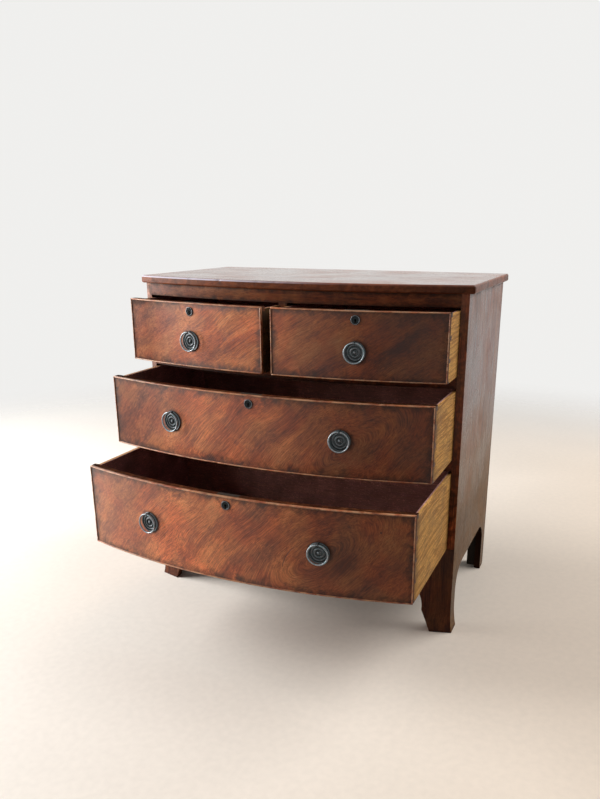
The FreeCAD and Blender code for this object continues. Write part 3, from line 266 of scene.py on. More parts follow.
class Finish(Graph):
    """One material: its shader, the place on the piece and the colour laid so far."""

    def __init__(self, name, seed):
        self.material = bpy.data.materials.new(name)
        self.material.use_nodes = True
        super().__init__(self.material.node_tree)
        self.seed = seed
        self.colour = None
        self.shader = self.add("ShaderNodeBsdfPrincipled")
        self.output = self.add("ShaderNodeOutputMaterial", {"Surface": self.shader.outputs[0]})
        self.place = self.add("ShaderNodeTexCoord").outputs["Object"]
        self.x, self.y, self.z = self.add("ShaderNodeSeparateXYZ", (self.place,)).outputs

    def sideways(self):
        """How squarely the surface faces to a side."""
        normal = self.add("ShaderNodeTexCoord").outputs["Normal"]
        return self.math("ABSOLUTE", self.add("ShaderNodeSeparateXYZ", (normal,)).outputs[0])

    def blend(self, amount, first, second, mode="MIX"):
        inputs = {0: amount, 6: first, 7: second}
        return self.add("ShaderNodeMix", inputs, data_type="RGBA", blend_type=mode).outputs[2]

    def shade(self, tone, factor):
        """A colour made darker or lighter by a factor."""
        inputs = {"Vector": tone, "Scale": factor}
        return self.add("ShaderNodeVectorMath", inputs, operation="SCALE").outputs[0]

    def paint(self, amount, tone, mode="MIX"):
        """Lays a tone over the colour so far."""
        self.colour = self.blend(amount, self.colour, tone, mode)

    def ramp(self, value, *stops):
        node = self.add("ShaderNodeValToRGB", (value,))
        points = node.color_ramp.elements
        while len(points) < len(stops):
            points.new(1.0)
        for point, (position, tone) in zip(points, stops):
            point.position = position
            point.color = (*tone, 1.0)
        return node.outputs[0]

    def value(self, vector, scale=1.0, detail=2.0, roughness=0.5, distortion=0.0, shift=0.0,
              output=0):
        """Noise: its value, or its colour as output 1."""
        inputs = {"Vector": vector, "W": self.seed + shift, "Scale": scale, "Detail": detail,
                  "Roughness": roughness, "Distortion": distortion}
        return self.add("ShaderNodeTexNoise", inputs, noise_dimensions="4D").outputs[output]

    def flow(self, turn, bend=None, eye=None):
        """Metres along, through and across the grain.

        A bend, its size and reach, lets the grain wander. About an eye it closes in ovals.
        """
        place = self.place
        if bend:
            size, reach = bend
            drift = self.value(place, 1.0 / size, 1.0, output=1)
            place = self.vector("MULTIPLY_ADD", drift, (reach,) * 3, place)[0]
        node = self.add(
            "ShaderNodeMapping", {"Vector": place, "Rotation": turn}, vector_type="TEXTURE")
        if eye is None:
            return node.outputs[0]
        across, level, squeeze = eye
        node.inputs["Location"].default_value = (across, 0.0, level)
        run, deep, rise = self.add("ShaderNodeSeparateXYZ", (node.outputs[0],)).outputs
        short = self.times(run, squeeze)
        squares = self.plus(self.times(short, short), self.times(rise, rise))
        oval = (run, deep, self.math("SQRT", squares))
        return self.add("ShaderNodeCombineXYZ", oval).outputs[0]

    def sized(self, flow, along, across, rise=None):
        """Grain coordinates counted in features of this length and width."""
        return self.vector("DIVIDE", flow, (along, across, rise or across))[0]

    def inset(self, low, high, axes):
        """Distance in from the nearest side of a box, over the axes named."""
        found = []
        for axis in axes:
            line, index = getattr(self, axis), "xyz".index(axis)
            found += [self.minus(line, low[index]), self.minus(high[index], line)]
        return self.least(*found)

    def from_point(self, point):
        return self.vector("DISTANCE", self.place, point)["Value"]

    def apart(self, first, second):
        """Distance from its two parts at right angles."""
        flat = self.add("ShaderNodeCombineXYZ", (first, second)).outputs[0]
        return self.vector("LENGTH", flat)["Value"]

    def from_axis(self, across, level):
        """Distance from a line that runs front to back."""
        return self.apart(self.minus(self.x, across), self.minus(self.z, level))

    def from_bow(self, radius):
        """Distance in from an upright cylinder about the bow's axis."""
        return self.minus(radius, self.apart(self.x, self.minus(self.y, BOW_CENTRE)))

    def rings(self, out, circles):
        """Bands about a centre: each circle has a radius and a half width."""
        return self.most(
            *[self.near(self.gap(out, radius), half, 0.3) for radius, half in circles])

    def done(self, roughness, gloss, metal=0.0, height=None, deep=0.0):
        """The material, its shader filled and its surface raised by a height this deep."""
        if height is not None:
            inputs = {"Strength": 1.0, "Distance": deep, "Height": height}
            bump = self.add("ShaderNodeBump", inputs)
            self.plug(self.shader.inputs["Normal"], bump.outputs[0])
        for name, value in (("Base Color", self.colour), ("Roughness", roughness),
                            ("Specular IOR Level", gloss), ("Metallic", metal)):
            self.plug(self.shader.inputs[name], value)
        return self.material


def mahogany(name, turn, seed, figure, swirl=0.03, depth=1.0, gloss=0.12, inset=None,
             margin=0.012, eye=None, spots=(), scores=(), holes=(), edge=None, tone=None,
             tint=None, painted_shade=None, rub=None, bare=None, patchy=(0.38, 0.60), polish=0.0,
             brushed=0.0, cracks=0.0):
    """Polished mahogany: figure, fibre, pores, specks, darker edges, spots and holes (partly
    painted shade), pale arrises.
    """
    tones = settings().mahogany
    made = Finish(name, seed)
    flow = made.flow(turn, (0.13, swirl), eye)
    broad = made.value(made.sized(flow, *figure), distortion=0.3)
    streak, line, fibre, dash, pore = [
        made.value(made.sized(flow, along, across), 1.0, detail, roughness, 0.0, shift)
        for along, across, detail, roughness, shift in MAHOGANY_GRAIN]
    mottle, speck, cloudy, redder = [made.value(made.place, *layer) for layer in MAHOGANY_CLOUDS]

    mixed = made.plus(made.times(broad, 0.36), made.times(mottle, 0.12),
                      made.times(streak, 0.18), made.times(line, 0.34))
    made.colour = made.ramp(
        mixed, (0.38, tones.shadow), (0.46, tones.body), (0.54, tones.flame), (0.65, tones.glint))
    light = made.times(
        made.vary(fibre, 0.80, 1.20, 0.25), made.step(dash, 0.30, 0.52, 0.66, 1.08),
        made.vary(cloudy, 0.76, 1.20), depth)
    if tone:
        light = made.times(light, tone(made))
    made.colour = made.shade(made.colour, light)
    made.paint(made.step(redder, 0.40, 0.62), tones.warmth, "MULTIPLY")
    if tint:
        where, dye = tint(made)
        made.paint(where, made.shade(dye, light))

    pores = made.step(pore, 0.40, 0.31)
    made.paint(made.times(pores, 0.70), tones.grime_and_shade)
    made.paint(made.step(speck, 0.285, 0.245, 0.0, 0.9), tones.grime_and_shade)
    dirt_and_shade = made.step(cloudy, 0.58, 0.80, 0.0, 0.35)
    if inset:
        ragged = made.uneven(mottle, margin * 2.2, inset(made))
        dirt_and_shade = made.most(dirt_and_shade, made.step(ragged, margin, -0.003, 0.0, 0.88))
    # Darker spots: soiling and painted shadow about the backplates, soiling about the keyhole
    # plate.
    for spot, reach in spots:
        ragged = made.uneven(mottle, 0.012, made.from_point(spot))
        dirt_and_shade = made.most(dirt_and_shade, made.near(ragged, reach, 0.70, 0.80))
    # Darker holes: a plugged hole is dark wood; inside the keyhole the wood is painted black as
    # shade.
    for across, level, reach in holes:
        dirt_and_shade = made.most(dirt_and_shade, made.near(made.from_axis(across, level), reach, 0.6))
    made.paint(dirt_and_shade, tones.grime_and_shade)

    height = made.minus(made.times(fibre, 0.5), pores)
    for across, level, radius, middle, reach in scores:
        ring = made.gap(made.from_axis(across, level), radius)
        score = made.times(
            made.step(ring, 0.0013, 0.0004), made.near(made.from_axis(*middle), reach, 0.7, 0.85))
        made.paint(score, tones.grime_and_shade)
        height = made.minus(height, made.times(score, 3.0))
    dull = tones.polish - polish
    rough = [made.vary(cloudy, dull - 0.06, dull + 0.06), made.times(pores, 0.2)]
    if edge:
        where, factor, roughened = edge(made)
        made.paint(where, made.shade(made.colour, factor))
        rough.append(made.times(where, roughened))
    rough.append(made.times(dirt_and_shade, 0.22))
    # Painted shade where a piece asks for it.
    if painted_shade:
        made.paint(painted_shade(made), tones.grime_and_shade)
    # Pale rubbed tone: worn wood and painted highlight on the cockbeads, painted highlight on the
    # top's arris.
    if rub:
        made.paint(made.times(made.step(mottle, *patchy), rub(made)), bare or tones.bare)
    if cracks:
        seam = made.value(made.sized(flow, 0.60, 0.045), 1.0, 3.0, 0.6, 0.0, 17.0)
        opened = made.times(
            made.step(made.gap(seam, 0.5), 0.0075, 0.0020), made.step(cloudy, 0.46, 0.58))
        made.paint(made.times(opened, cracks), tones.grime_and_shade)
        height = made.minus(height, made.times(opened, 2.0))
    rough = made.plus(*rough)
    if brushed:
        rough = made.uneven(streak, brushed, rough)
    return made.done(rough, gloss(made) if callable(gloss) else gloss, height=height, deep=0.00012)


def oak(name, turn, seed, inner, joint=None, painted_shade=None):
    """Bare oak: growth rings, open pores, rays and handling marks."""
    tones = settings().oak
    made = Finish(name, seed)
    flow = made.flow(turn, (0.22, 0.03))
    ring = made.value(made.sized(flow, 0.38, 0.011), 1.0, 3.0, 0.55, 0.25)
    fibre = made.value(made.sized(flow, 0.030, 0.0009), shift=3.0)
    pore = made.value(made.sized(flow, 0.010, 0.0006), detail=1.0, shift=5.0)
    aslant = made.flow((turn[0], turn[1], turn[2] + 0.35))
    ray = made.value(made.sized(aslant, 0.012, 0.002, 0.0035), detail=1.0, shift=7.0)
    blot = made.value(made.place, 14.0, 3.0, shift=9.0)
    made.colour = made.ramp(
        ring, (0.34, tones.late), (0.46, tones.early), (0.56, tones.late), (0.66, tones.early))
    light = made.times(
        made.vary(fibre, 0.70, 1.26, 0.25), made.vary(blot, 0.76, 1.16),
        made.step(ray, 0.58, 0.68, 1.0, 1.55))
    made.colour = made.shade(made.colour, light)
    pores = made.step(pore, 0.38, 0.30)
    made.paint(made.times(pores, 0.55), tones.stain)
    marks = made.step(blot, 0.60, 0.78, 0.0, 0.4)
    if joint:
        ragged = made.uneven(blot, 0.05, joint(made))
        marks = made.most(marks, made.step(ragged, 0.035, -0.004, 0.0, 0.75))
    made.paint(marks, tones.stain)
    # The inside colour: partly oak browned by age, partly painted shade in the drawers.
    made.paint(inner(made), made.shade(tones.inside, light))
    # Painted shade where a piece asks for it.
    if painted_shade:
        made.paint(painted_shade(made), made.shade(made.colour, 0.16))
    return made.done(made.vary(blot, 0.62, 0.78), 0.25,
                     height=made.minus(made.times(fibre, 0.6), pores), deep=0.00022)


def softwood(name, turn, seed, depth=1.0, boards=None):
    """Hidden softwood: growth rings, blotches and dust; boards one above another differ."""
    tones = settings().softwood
    made = Finish(name, seed)
    flow = made.flow(turn, (0.25, 0.04))
    ring = made.value(made.sized(flow, 0.5, 0.013), distortion=0.3)
    fibre = made.value(made.sized(flow, 0.04, 0.0011), shift=3.0)
    blot = made.value(made.place, 11.0, 3.0, shift=5.0)
    made.colour = made.ramp(
        ring, (0.38, tones.early), (0.50, tones.late), (0.55, tones.early), (0.66, tones.late))
    light = made.times(
        made.vary(fibre, 0.78, 1.2, 0.25), made.vary(blot, 0.72, 1.15),
        depth(made) if callable(depth) else depth)
    if boards:
        low, pitch = boards
        place = made.math("DIVIDE", made.minus(made.z, low), pitch)
        turned = made.math("COSINE", made.times(made.math("FLOOR", place), 2.2))
        seam = made.gap(place, made.math("ROUND", place))
        light = made.times(light, made.math("MULTIPLY_ADD", turned, 0.20, 1.0),
                           made.step(seam, 0.016, 0.004, 1.0, 0.25))
    made.paint(made.step(blot, 0.5, 0.75, 0.0, 0.35), tones.dust)
    made.colour = made.shade(made.colour, light)
    return made.done(made.vary(fibre, 0.78, 0.9), 0.2, height=fibre, deep=0.0003)


def old_brass(name, seed, rub, shine, depth, centres=(), hollows=(), crests=(), gloss=0.5,
              flat=0.35):
    """Brass gone dark: bloom in the turned hollows, rubbed metal on the high rings."""
    tones = settings().brass
    made = Finish(name, seed)
    blot = made.value(made.place, 190.0, 4.0, 0.6)
    fine = made.value(made.place, 1400.0, shift=3.0)
    made.colour = made.blend(made.step(blot, 0.35, 0.68), tones.skin, tones.bloom)
    made.colour = made.shade(made.colour, depth)
    bright = made.times(made.step(blot, 0.66, 0.36), rub)
    if centres:
        out = made.least(*[made.from_point(centre) for centre in centres])
        bright = made.times(bright, flat)
        if hollows:
            hollow = made.rings(out, hollows)
            made.paint(made.times(hollow, 0.8), made.shade(made.colour, 0.25))
            bright = made.times(bright, made.step(hollow, 0.8, 0.1))
        crest = made.times(made.rings(out, crests), rub, made.step(blot, 0.70, 0.34, 0.35, 1.0))
        bright = made.most(bright, crest)
        turned = made.math("SINE", made.times(out, 2 * math.pi / TOOL_MARK))
        fine = made.plus(fine, made.times(turned, 0.20))
    made.paint(bright, tones.rubbed)
    return made.done(made.vary(blot, shine - 0.08, shine + 0.12), gloss, 0.75,
                     made.plus(fine, made.times(blot, 0.6)), 0.00006)


def old_iron(name, seed, key):
    """Lock iron: dull grey with brown specks and file marks, painted black about the keyhole as
    shade.
    """
    made = Finish(name, seed)
    filed = made.value(made.sized(made.flow(ALONG_WIDTH), 0.012, 0.0004))
    blot = made.value(made.place, 180.0, 4.0, shift=3.0)
    made.colour = made.shade(settings().brass.iron, made.vary(filed, 0.75, 1.2, 0.25))
    made.paint(made.step(blot, 0.56, 0.70, 0.0, 0.7), RUST)
    made.paint(made.near(made.from_axis(*key), 0.010, 0.7, 0.97), KEYHOLE_SHADE)
    return made.done(made.vary(blot, 0.55, 0.78), 0.04, 0.4, filed, 0.00005)


# Places and mesh helpers

def edges(node, axes="xz"):
    """Distance in from the sides of a node's box, for a material."""
    low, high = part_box(node)
    return lambda made: made.inset(low, high, axes)


def middle_of(node):
    low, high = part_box(node)
    return (low + high) / 2


def rings_of(drawer):
    return [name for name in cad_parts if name.startswith("ring_" + drawer)]


def plate_centres(drawer, behind):
    """Middles of a drawer's backplates, so far behind the middles of their rings."""
    level = middle_of("handle_plates_" + drawer).z
    places = [middle_of(ring) for ring in rings_of(drawer)]
    return [(place.x, place.y + behind, level) for place in places]


def key_centre(drawer):
    """Middle of a drawer's round keyhole plate."""
    low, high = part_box("escutcheon_" + drawer)
    centre = (low + high) / 2
    centre.z = high.z - (high.x - low.x) / 2
    return centre


def even_out(piece):
    """Shades broad faces flat beside rounded edges."""
    piece.modifiers.new("even_shading", "WEIGHTED_NORMAL").keep_sharp = True


def dress(node, material, worn=None, steps=2):
    """Gives a carried-over node its material and, by the name of a trim size, worn edges."""
    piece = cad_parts[node]
    for slot in piece.material_slots:
        slot.material = material
    if worn:
        piece.modifiers.new("join_seams", "WELD").merge_threshold = 2e-6
        bevel = piece.modifiers.new("worn_edges", "BEVEL")
        bevel.width = getattr(settings().trim, worn)
        bevel.segments = steps
        bevel.limit_method = "ANGLE"
        bevel.angle_limit = math.radians(28)
        bevel.use_clamp_overlap = True
        even_out(piece)


def new_object(name, data):
    made = bpy.data.objects.new(name, data)
    bpy.context.scene.collection.objects.link(made)
    return made


def from_bmesh(shape, name, material, smooth=True):
    mesh = bpy.data.meshes.new(name)
    bmesh.ops.recalc_face_normals(shape, faces=shape.faces)
    shape.to_mesh(mesh)
    shape.free()
    mesh.materials.append(material)
    for face in mesh.polygons:
        face.use_smooth = smooth
    made = new_object(name, mesh)
    if smooth:
        even_out(made)
    return made


def bridge(shape, rings, closed):
    """Faces between each ring of points and the next."""
    for ring, following in zip(rings, rings[1:]):
        for index in range(len(ring) if closed else len(ring) - 1):
            after = (index + 1) % len(ring)
            shape.faces.new((ring[index], ring[after], following[after], following[index]))


def on_bow(across, level, out, opened):
    """A point of a drawer front: across the chest, up it and out from the bow."""
    angle = math.asin(across / BOW_RADIUS)
    reach = BOW_RADIUS + out
    return Vector((reach * math.sin(angle), BOW_CENTRE - opened - reach * math.cos(angle), level))


# Operators: one for each piece or group of like pieces

class ChestOperator(bpy.types.Operator):
    """Shared settings of the chest's operators."""
    bl_options = {"REGISTER", "UNDO"}


class CHEST_OT_top(ChestOperator):
    """Shape the top board with its worn, rounded edge and polish it."""
    bl_idname = "chest.top"
    bl_label = "Top board"

    # Pale lilac colour of the painted highlight along the top's front arris.
    painted_highlight = (0.670, 0.640, 0.740)
    russet = (0.470, 0.125, 0.050)
    pitch = 0.005
    turns = 6
    shoulder = 0.004
    border = 0.010
    # Waves of the rubbing per metre, broad and fine, and its depth.
    waves = (16, 96)
    rubbed = 0.0003
    # Place along the front, width and depth of the larger nicks in the upper corner.
    nicks = (
        (-0.182, 0.0045, 0.0034), (-0.066, 0.0040, 0.0022), (-0.016, 0.0035, 0.0024),
        (0.024, 0.0060, 0.0012), (-0.274, 0.0040, 0.0012), (0.330, 0.0040, 0.0014),
    )

    def plan(self, high):
        """Points round the edge with the direction out of the wood at each, back corner first."""
        corner = math.asin(high.x / TOP_RADIUS)
        front = BOW_CENTRE - TOP_RADIUS * math.cos(corner)
        count = int((high.y - front) / self.pitch)
        side = [high.y + (front - high.y) * step / count for step in range(count + 1)]
        points = [(Vector((-high.x, along)), Vector((-1, 0))) for along in side]
        count = int(2 * TOP_RADIUS * corner / self.pitch)
        for step in range(count + 1):
            angle = corner * (2 * step / count - 1)
            out = Vector((math.sin(angle), -math.cos(angle)))
            points.append((Vector((0.0, BOW_CENTRE)) + TOP_RADIUS * out, out))
        return points + [(Vector((high.x, along)), Vector((1, 0))) for along in reversed(side)]

    def wear(self, point, front):
        """How far the upper corner is rubbed or knocked back at a point of the edge."""
        broad, fine = self.waves
        place = Vector((point.x * broad, point.y * broad, 3.0))
        depth = self.rubbed * max(0.0, noise.noise(place) + 0.25)
        depth += self.rubbed * max(0.0, noise.noise(place * (fine / broad)) - 0.15)
        if front:
            for across, width, deep in self.nicks:
                near = max(0.0, 1.0 - ((point.x - across) / width) ** 2)
                depth += deep * near * near
        return depth

    def profile(self, low, high, depth):
        """Inset and height down the edge, from the upper face to the lower."""
        rounding = settings().trim.edge_round
        under = settings().trim.edge_undercut
        points = [(rounding + self.border, high.z), (rounding + self.shoulder, high.z)]
        for turn in range(self.turns + 1):
            angle = QUARTER * turn / self.turns
            lean = depth * math.sin(2 * angle)
            points.append((rounding * (1 - math.sin(angle)) + lean,
                           high.z - rounding * (1 - math.cos(angle)) - lean))
        return points + [
            (0.0, low.z + 0.009), (0.0, low.z + under + 0.0006), (0.0003, low.z + under),
            (under, low.z + 0.0003), (under + 0.0005, low.z), (under + self.border, low.z)]

    def board(self, low, high):
        """The board's mesh: profiles side by side round the edge, and the two broad faces."""
        shape = bmesh.new()
        rings = []
        for point, out in self.plan(high):
            at_front = abs(out.y) > 0.5
            ring = []
            for inset, level in self.profile(low, high, self.wear(point, at_front)):
                # The bow and a side meet where their inset lines cross.
                limit = high.x - inset
                across = max(-limit, min(limit, point.x - out.x * inset))
                front = BOW_CENTRE - math.sqrt((TOP_RADIUS - inset) ** 2 - across * across)
                along = front if at_front else max(front, point.y)
                ring.append(shape.verts.new((across, along, level)))
            rings.append(ring)
        bridge(shape, rings, False)
        shape.faces.new([ring[0] for ring in rings])
        shape.faces.new([ring[-1] for ring in rings])
        shape.faces.new(rings[0] + list(reversed(rings[-1])))
        bmesh.ops.remove_doubles(shape, verts=shape.verts, dist=1e-6)
        return shape

    def execute(self, context):
        low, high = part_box("top")

        def rim(made):
            return made.least(made.inset(low, high, "x"), made.from_bow(TOP_RADIUS))

        def arris(made):
            """Painted highlight along the upper corner of the front edge, strongest at the left.
            """
            height = made.minus(high.z, made.z)
            return made.times(
                made.step(height, 0.0052, 0.0034), made.step(height, 0.0002, 0.0014),
                made.step(made.from_bow(TOP_RADIUS), 0.0076, 0.0056),
                made.step(made.x, 0.20, -0.25, 0.03, 0.9))

        def edge(made):
            """The upright edge and its rounding."""
            return made.step(rim(made), 0.0050, 0.0030), 1.15, 0.10

        def polish(made):
            """The upper face shines, the edge hardly."""
            return made.step(rim(made), 0.0060, 0.0030, 1.0, 0.10)

        def redder(made):
            """The edge kept its red where the upper face has faded."""
            return made.step(rim(made), 0.0050, 0.0030, 0.0, 0.55), self.russet

        wood = mahogany(
            "mahogany_top", ALONG_WIDTH, 2.0, figure=(0.45, 0.022), swirl=0.04, depth=0.60,
            gloss=polish, inset=rim, margin=0.004, edge=edge, tint=redder, rub=arris,
            bare=self.painted_highlight, patchy=(0.20, 0.42), polish=0.22, brushed=0.3)
        piece = from_bmesh(self.board(low, high), "worn_top", wood)
        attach(piece, "case")
        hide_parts("top")
        return {"FINISHED"}


class CHEST_OT_sides(ChestOperator):
    """Polish the two side panels."""
    bl_idname = "chest.sides"
    bl_label = "Side panels"

    # Colour of the painted reflection of the warm floor low on the panels.
    olive = (0.230, 0.132, 0.060)
    # Share of olive tint and of lightening at the foot of each panel, both painted reflection of
    # the warm floor.
    panels = {"side_left": (0.35, 1.2), "side_right": (0.85, 1.9)}

    def execute(self, context):
        for number, (node, (turned, pale)) in enumerate(self.panels.items()):
            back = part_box(node)[1].y

            def stile(made):
                """The front edge, which shows beside the drawers: lighter, partly its own colour
                and partly painted light bounced off the drawers' oak sides.
                """
                return made.step(made.from_bow(BOW_RADIUS), 0.0016, 0.0008), 2.2, 0.15

            def inner_edge(made):
                """Painted shade: the edges of the arch, in the dark under the chest, are laid
                nearly black.
                """
                return made.times(
                    made.step(made.sideways(), 0.75, 0.55), made.step(made.y, -0.015, 0.005),
                    made.step(made.y, back - 0.0006, back - 0.0026), 0.93)

            def floor_reflection(made):
                """Painted reflection of the warm floor: the wood is tinted olive toward it."""
                return made.times(made.step(made.z, 0.74, 0.24, 0.0, turned),
                                  made.step(made.sideways(), 0.6, 0.8)), self.olive

            dress(node, mahogany(
                "mahogany_" + node, ALONG_HEIGHT, 5.0 + number, figure=(0.5, 0.018), swirl=0.02,
                depth=0.42, gloss=lambda made: made.step(made.z, 0.28, 0.66, 0.015, 0.32),
                inset=edges(node, "yz"), edge=stile, tint=floor_reflection, painted_shade=inner_edge,
                # Lighter toward the floor: painted reflection of the floor.
                tone=lambda made: made.step(made.z, 0.66, 0.20, 1.0, pale), polish=0.06,
                brushed=0.5, cracks=0.9), "arris")
        return {"FINISHED"}


class CHEST_OT_rails(ChestOperator):
    """Polish the frieze, the rails and the divider."""
    bl_idname = "chest.rails"
    bl_label = "Frieze, rails and divider"

    depth = 0.43
    rails = ("frieze_rail", "rail_upper", "rail_middle", "rail_base", "apron")

    def execute(self, context):
        for number, node in enumerate(self.rails):
            dress(node, mahogany(
                "mahogany_" + node, ALONG_WIDTH, 9.0 + number, figure=(0.35, 0.012), swirl=0.015,
                depth=self.depth, inset=edges(node)), "fine_arris")
        dress("drawer_divider", mahogany(
            "mahogany_divider", ALONG_HEIGHT, 15.0, figure=(0.3, 0.012), swirl=0.01,
            depth=self.depth, inset=edges("drawer_divider")), "fine_arris")
        return {"FINISHED"}


class CHEST_OT_feet(ChestOperator):
    """Polish the front feet and paint shade on the rear brackets."""
    bl_idname = "chest.feet"
    bl_label = "Feet"

    def execute(self, context):
        for number, hand in enumerate(("left", "right")):
            foot = "foot_front_" + hand
            dress(foot, mahogany(
                "mahogany_" + foot, ALONG_HEIGHT, 21.0 + number, figure=(0.16, 0.014), swirl=0.02,
                depth=0.30, inset=edges(foot), margin=0.008), "toe_round", 3)
            bracket = "bracket_rear_" + hand
            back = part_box(bracket)[1].y
            # Painted shade: the brackets, seen through the arch, are laid nearly black at the
            # front and dark brown toward the back.
            dress(bracket, softwood(
                "stained_" + bracket, ALONG_WIDTH, 25.0 + number, lambda made:
                made.step(made.y, back - 0.006, back - 0.002, 0.03, 0.22)), "arris")
        return {"FINISHED"}


class CHEST_OT_inside(ChestOperator):
    """Give the hidden softwood its growth rings and dust."""
    bl_idname = "chest.inside"
    bl_label = "Runners, dust boards and back"

    boards = 3
    gap = 0.001
    # Node, grain and depth of colour; the low depth of the glue blocks, seen through the arch, is
    # painted shade.
    rows = (("runners_and_guides", ALONG_DEPTH, 1.0), ("dust_boards", ALONG_WIDTH, 1.0),
            ("drawer_stops", ALONG_WIDTH, 1.0), ("back_boards", ALONG_WIDTH, 1.0),
            ("glue_blocks", ALONG_HEIGHT, 0.08))

    def execute(self, context):
        low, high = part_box("back_boards")
        boards = (low.z, (high.z - low.z + self.gap) / self.boards)
        for number, (node, turn, depth) in enumerate(self.rows):
            dress(node, softwood(
                "softwood_" + node, turn, 31.0 + number, depth,
                boards if node == "back_boards" else None), "fine_arris")
        return {"FINISHED"}


class CHEST_OT_fronts(ChestOperator):
    """Lay the figured veneer on the drawer fronts."""
    bl_idname = "chest.fronts"
    bl_label = "Drawer fronts"

    # Each veneer: rise of its grain in degrees; place, level and squeeze of the oval that grain
    # closes about; painted light and shade at the left end and over the whole, partly veneer tone;
    # polish left at the sunny left end.
    veneers = {
        "short_left": (30.0, (0.05, 0.60, 0.30), (0.62, 1.08), 0.05),
        "short_right": (30.0, (0.44, 0.66, 0.30), (0.60, 0.70), 0.50),
        "upper_long": (36.0, (0.245, 0.560, 0.36), (0.62, 0.92), 0.16),
        "lower_long": (38.0, (0.235, 0.345, 0.36), (0.85, 1.10), 0.48),
    }
    # A scratched arc: its centre, radius, middle and reach.
    scores = {"lower_long": ((0.2245, 0.2839, 0.0889, (0.1463, 0.3262), 0.034),)}
    # Plugged holes: place across, level and radius.
    holes = {"lower_long": ((0.3557, 0.4046, 0.0026),)}
    # Soiling and painted shadow round the backplates, soiling round the keyhole plate and painted
    # shade inside the keyhole: how far behind the rings it centres, and its radii.
    behind = 0.012
    plate_dirt_and_shadow = 0.0335
    key_dirt = 0.0145
    keyhole = 0.0085

    def execute(self, context):
        for number, drawer in enumerate(DRAWERS):
            node = "front_" + drawer
            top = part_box(node)[1].z
            rise, eye, (left, whole), dulled = self.veneers[drawer]

            def tone(made):
                """Painted light and shade, partly the veneer's own tone: palest left of the
                middle, darker at the left end, halving toward the right.
                """
                return made.times(made.step(made.x, -0.40, -0.12, left, 1.40),
                                  made.step(made.x, -0.04, 0.30, whole, 0.50 * whole))

            def polish(made):
                """The middle kept its polish best; the upper edge has none."""
                return made.times(
                    made.step(made.x, 0.04, 0.26, 1.0, 0.62),
                    made.step(made.x, -0.38, -0.14, dulled, 0.50),
                    made.step(made.z, top - 0.0008, top - 0.0003, 1.0, 0.04))

            key = middle_of("escutcheon_" + drawer)
            spots = [(centre, self.plate_dirt_and_shadow) for centre in plate_centres(drawer, self.behind)]
            spots.append((key, self.key_dirt))
            holes = self.holes.get(drawer, ()) + ((key.x, key.z, self.keyhole),)
            dress(node, mahogany(
                "veneer_" + drawer, (0.0, -math.radians(rise), 0.0), 41.0 + 7 * number,
                figure=(0.20, 0.045), gloss=polish, inset=edges(node), margin=0.024, eye=eye,
                spots=spots, scores=self.scores.get(drawer, ()), holes=holes, tone=tone,
                edge=lambda made: (made.step(made.z, top - 0.0008, top - 0.0003), 0.80, 0.30)),
                "fine_arris")
        return {"FINISHED"}


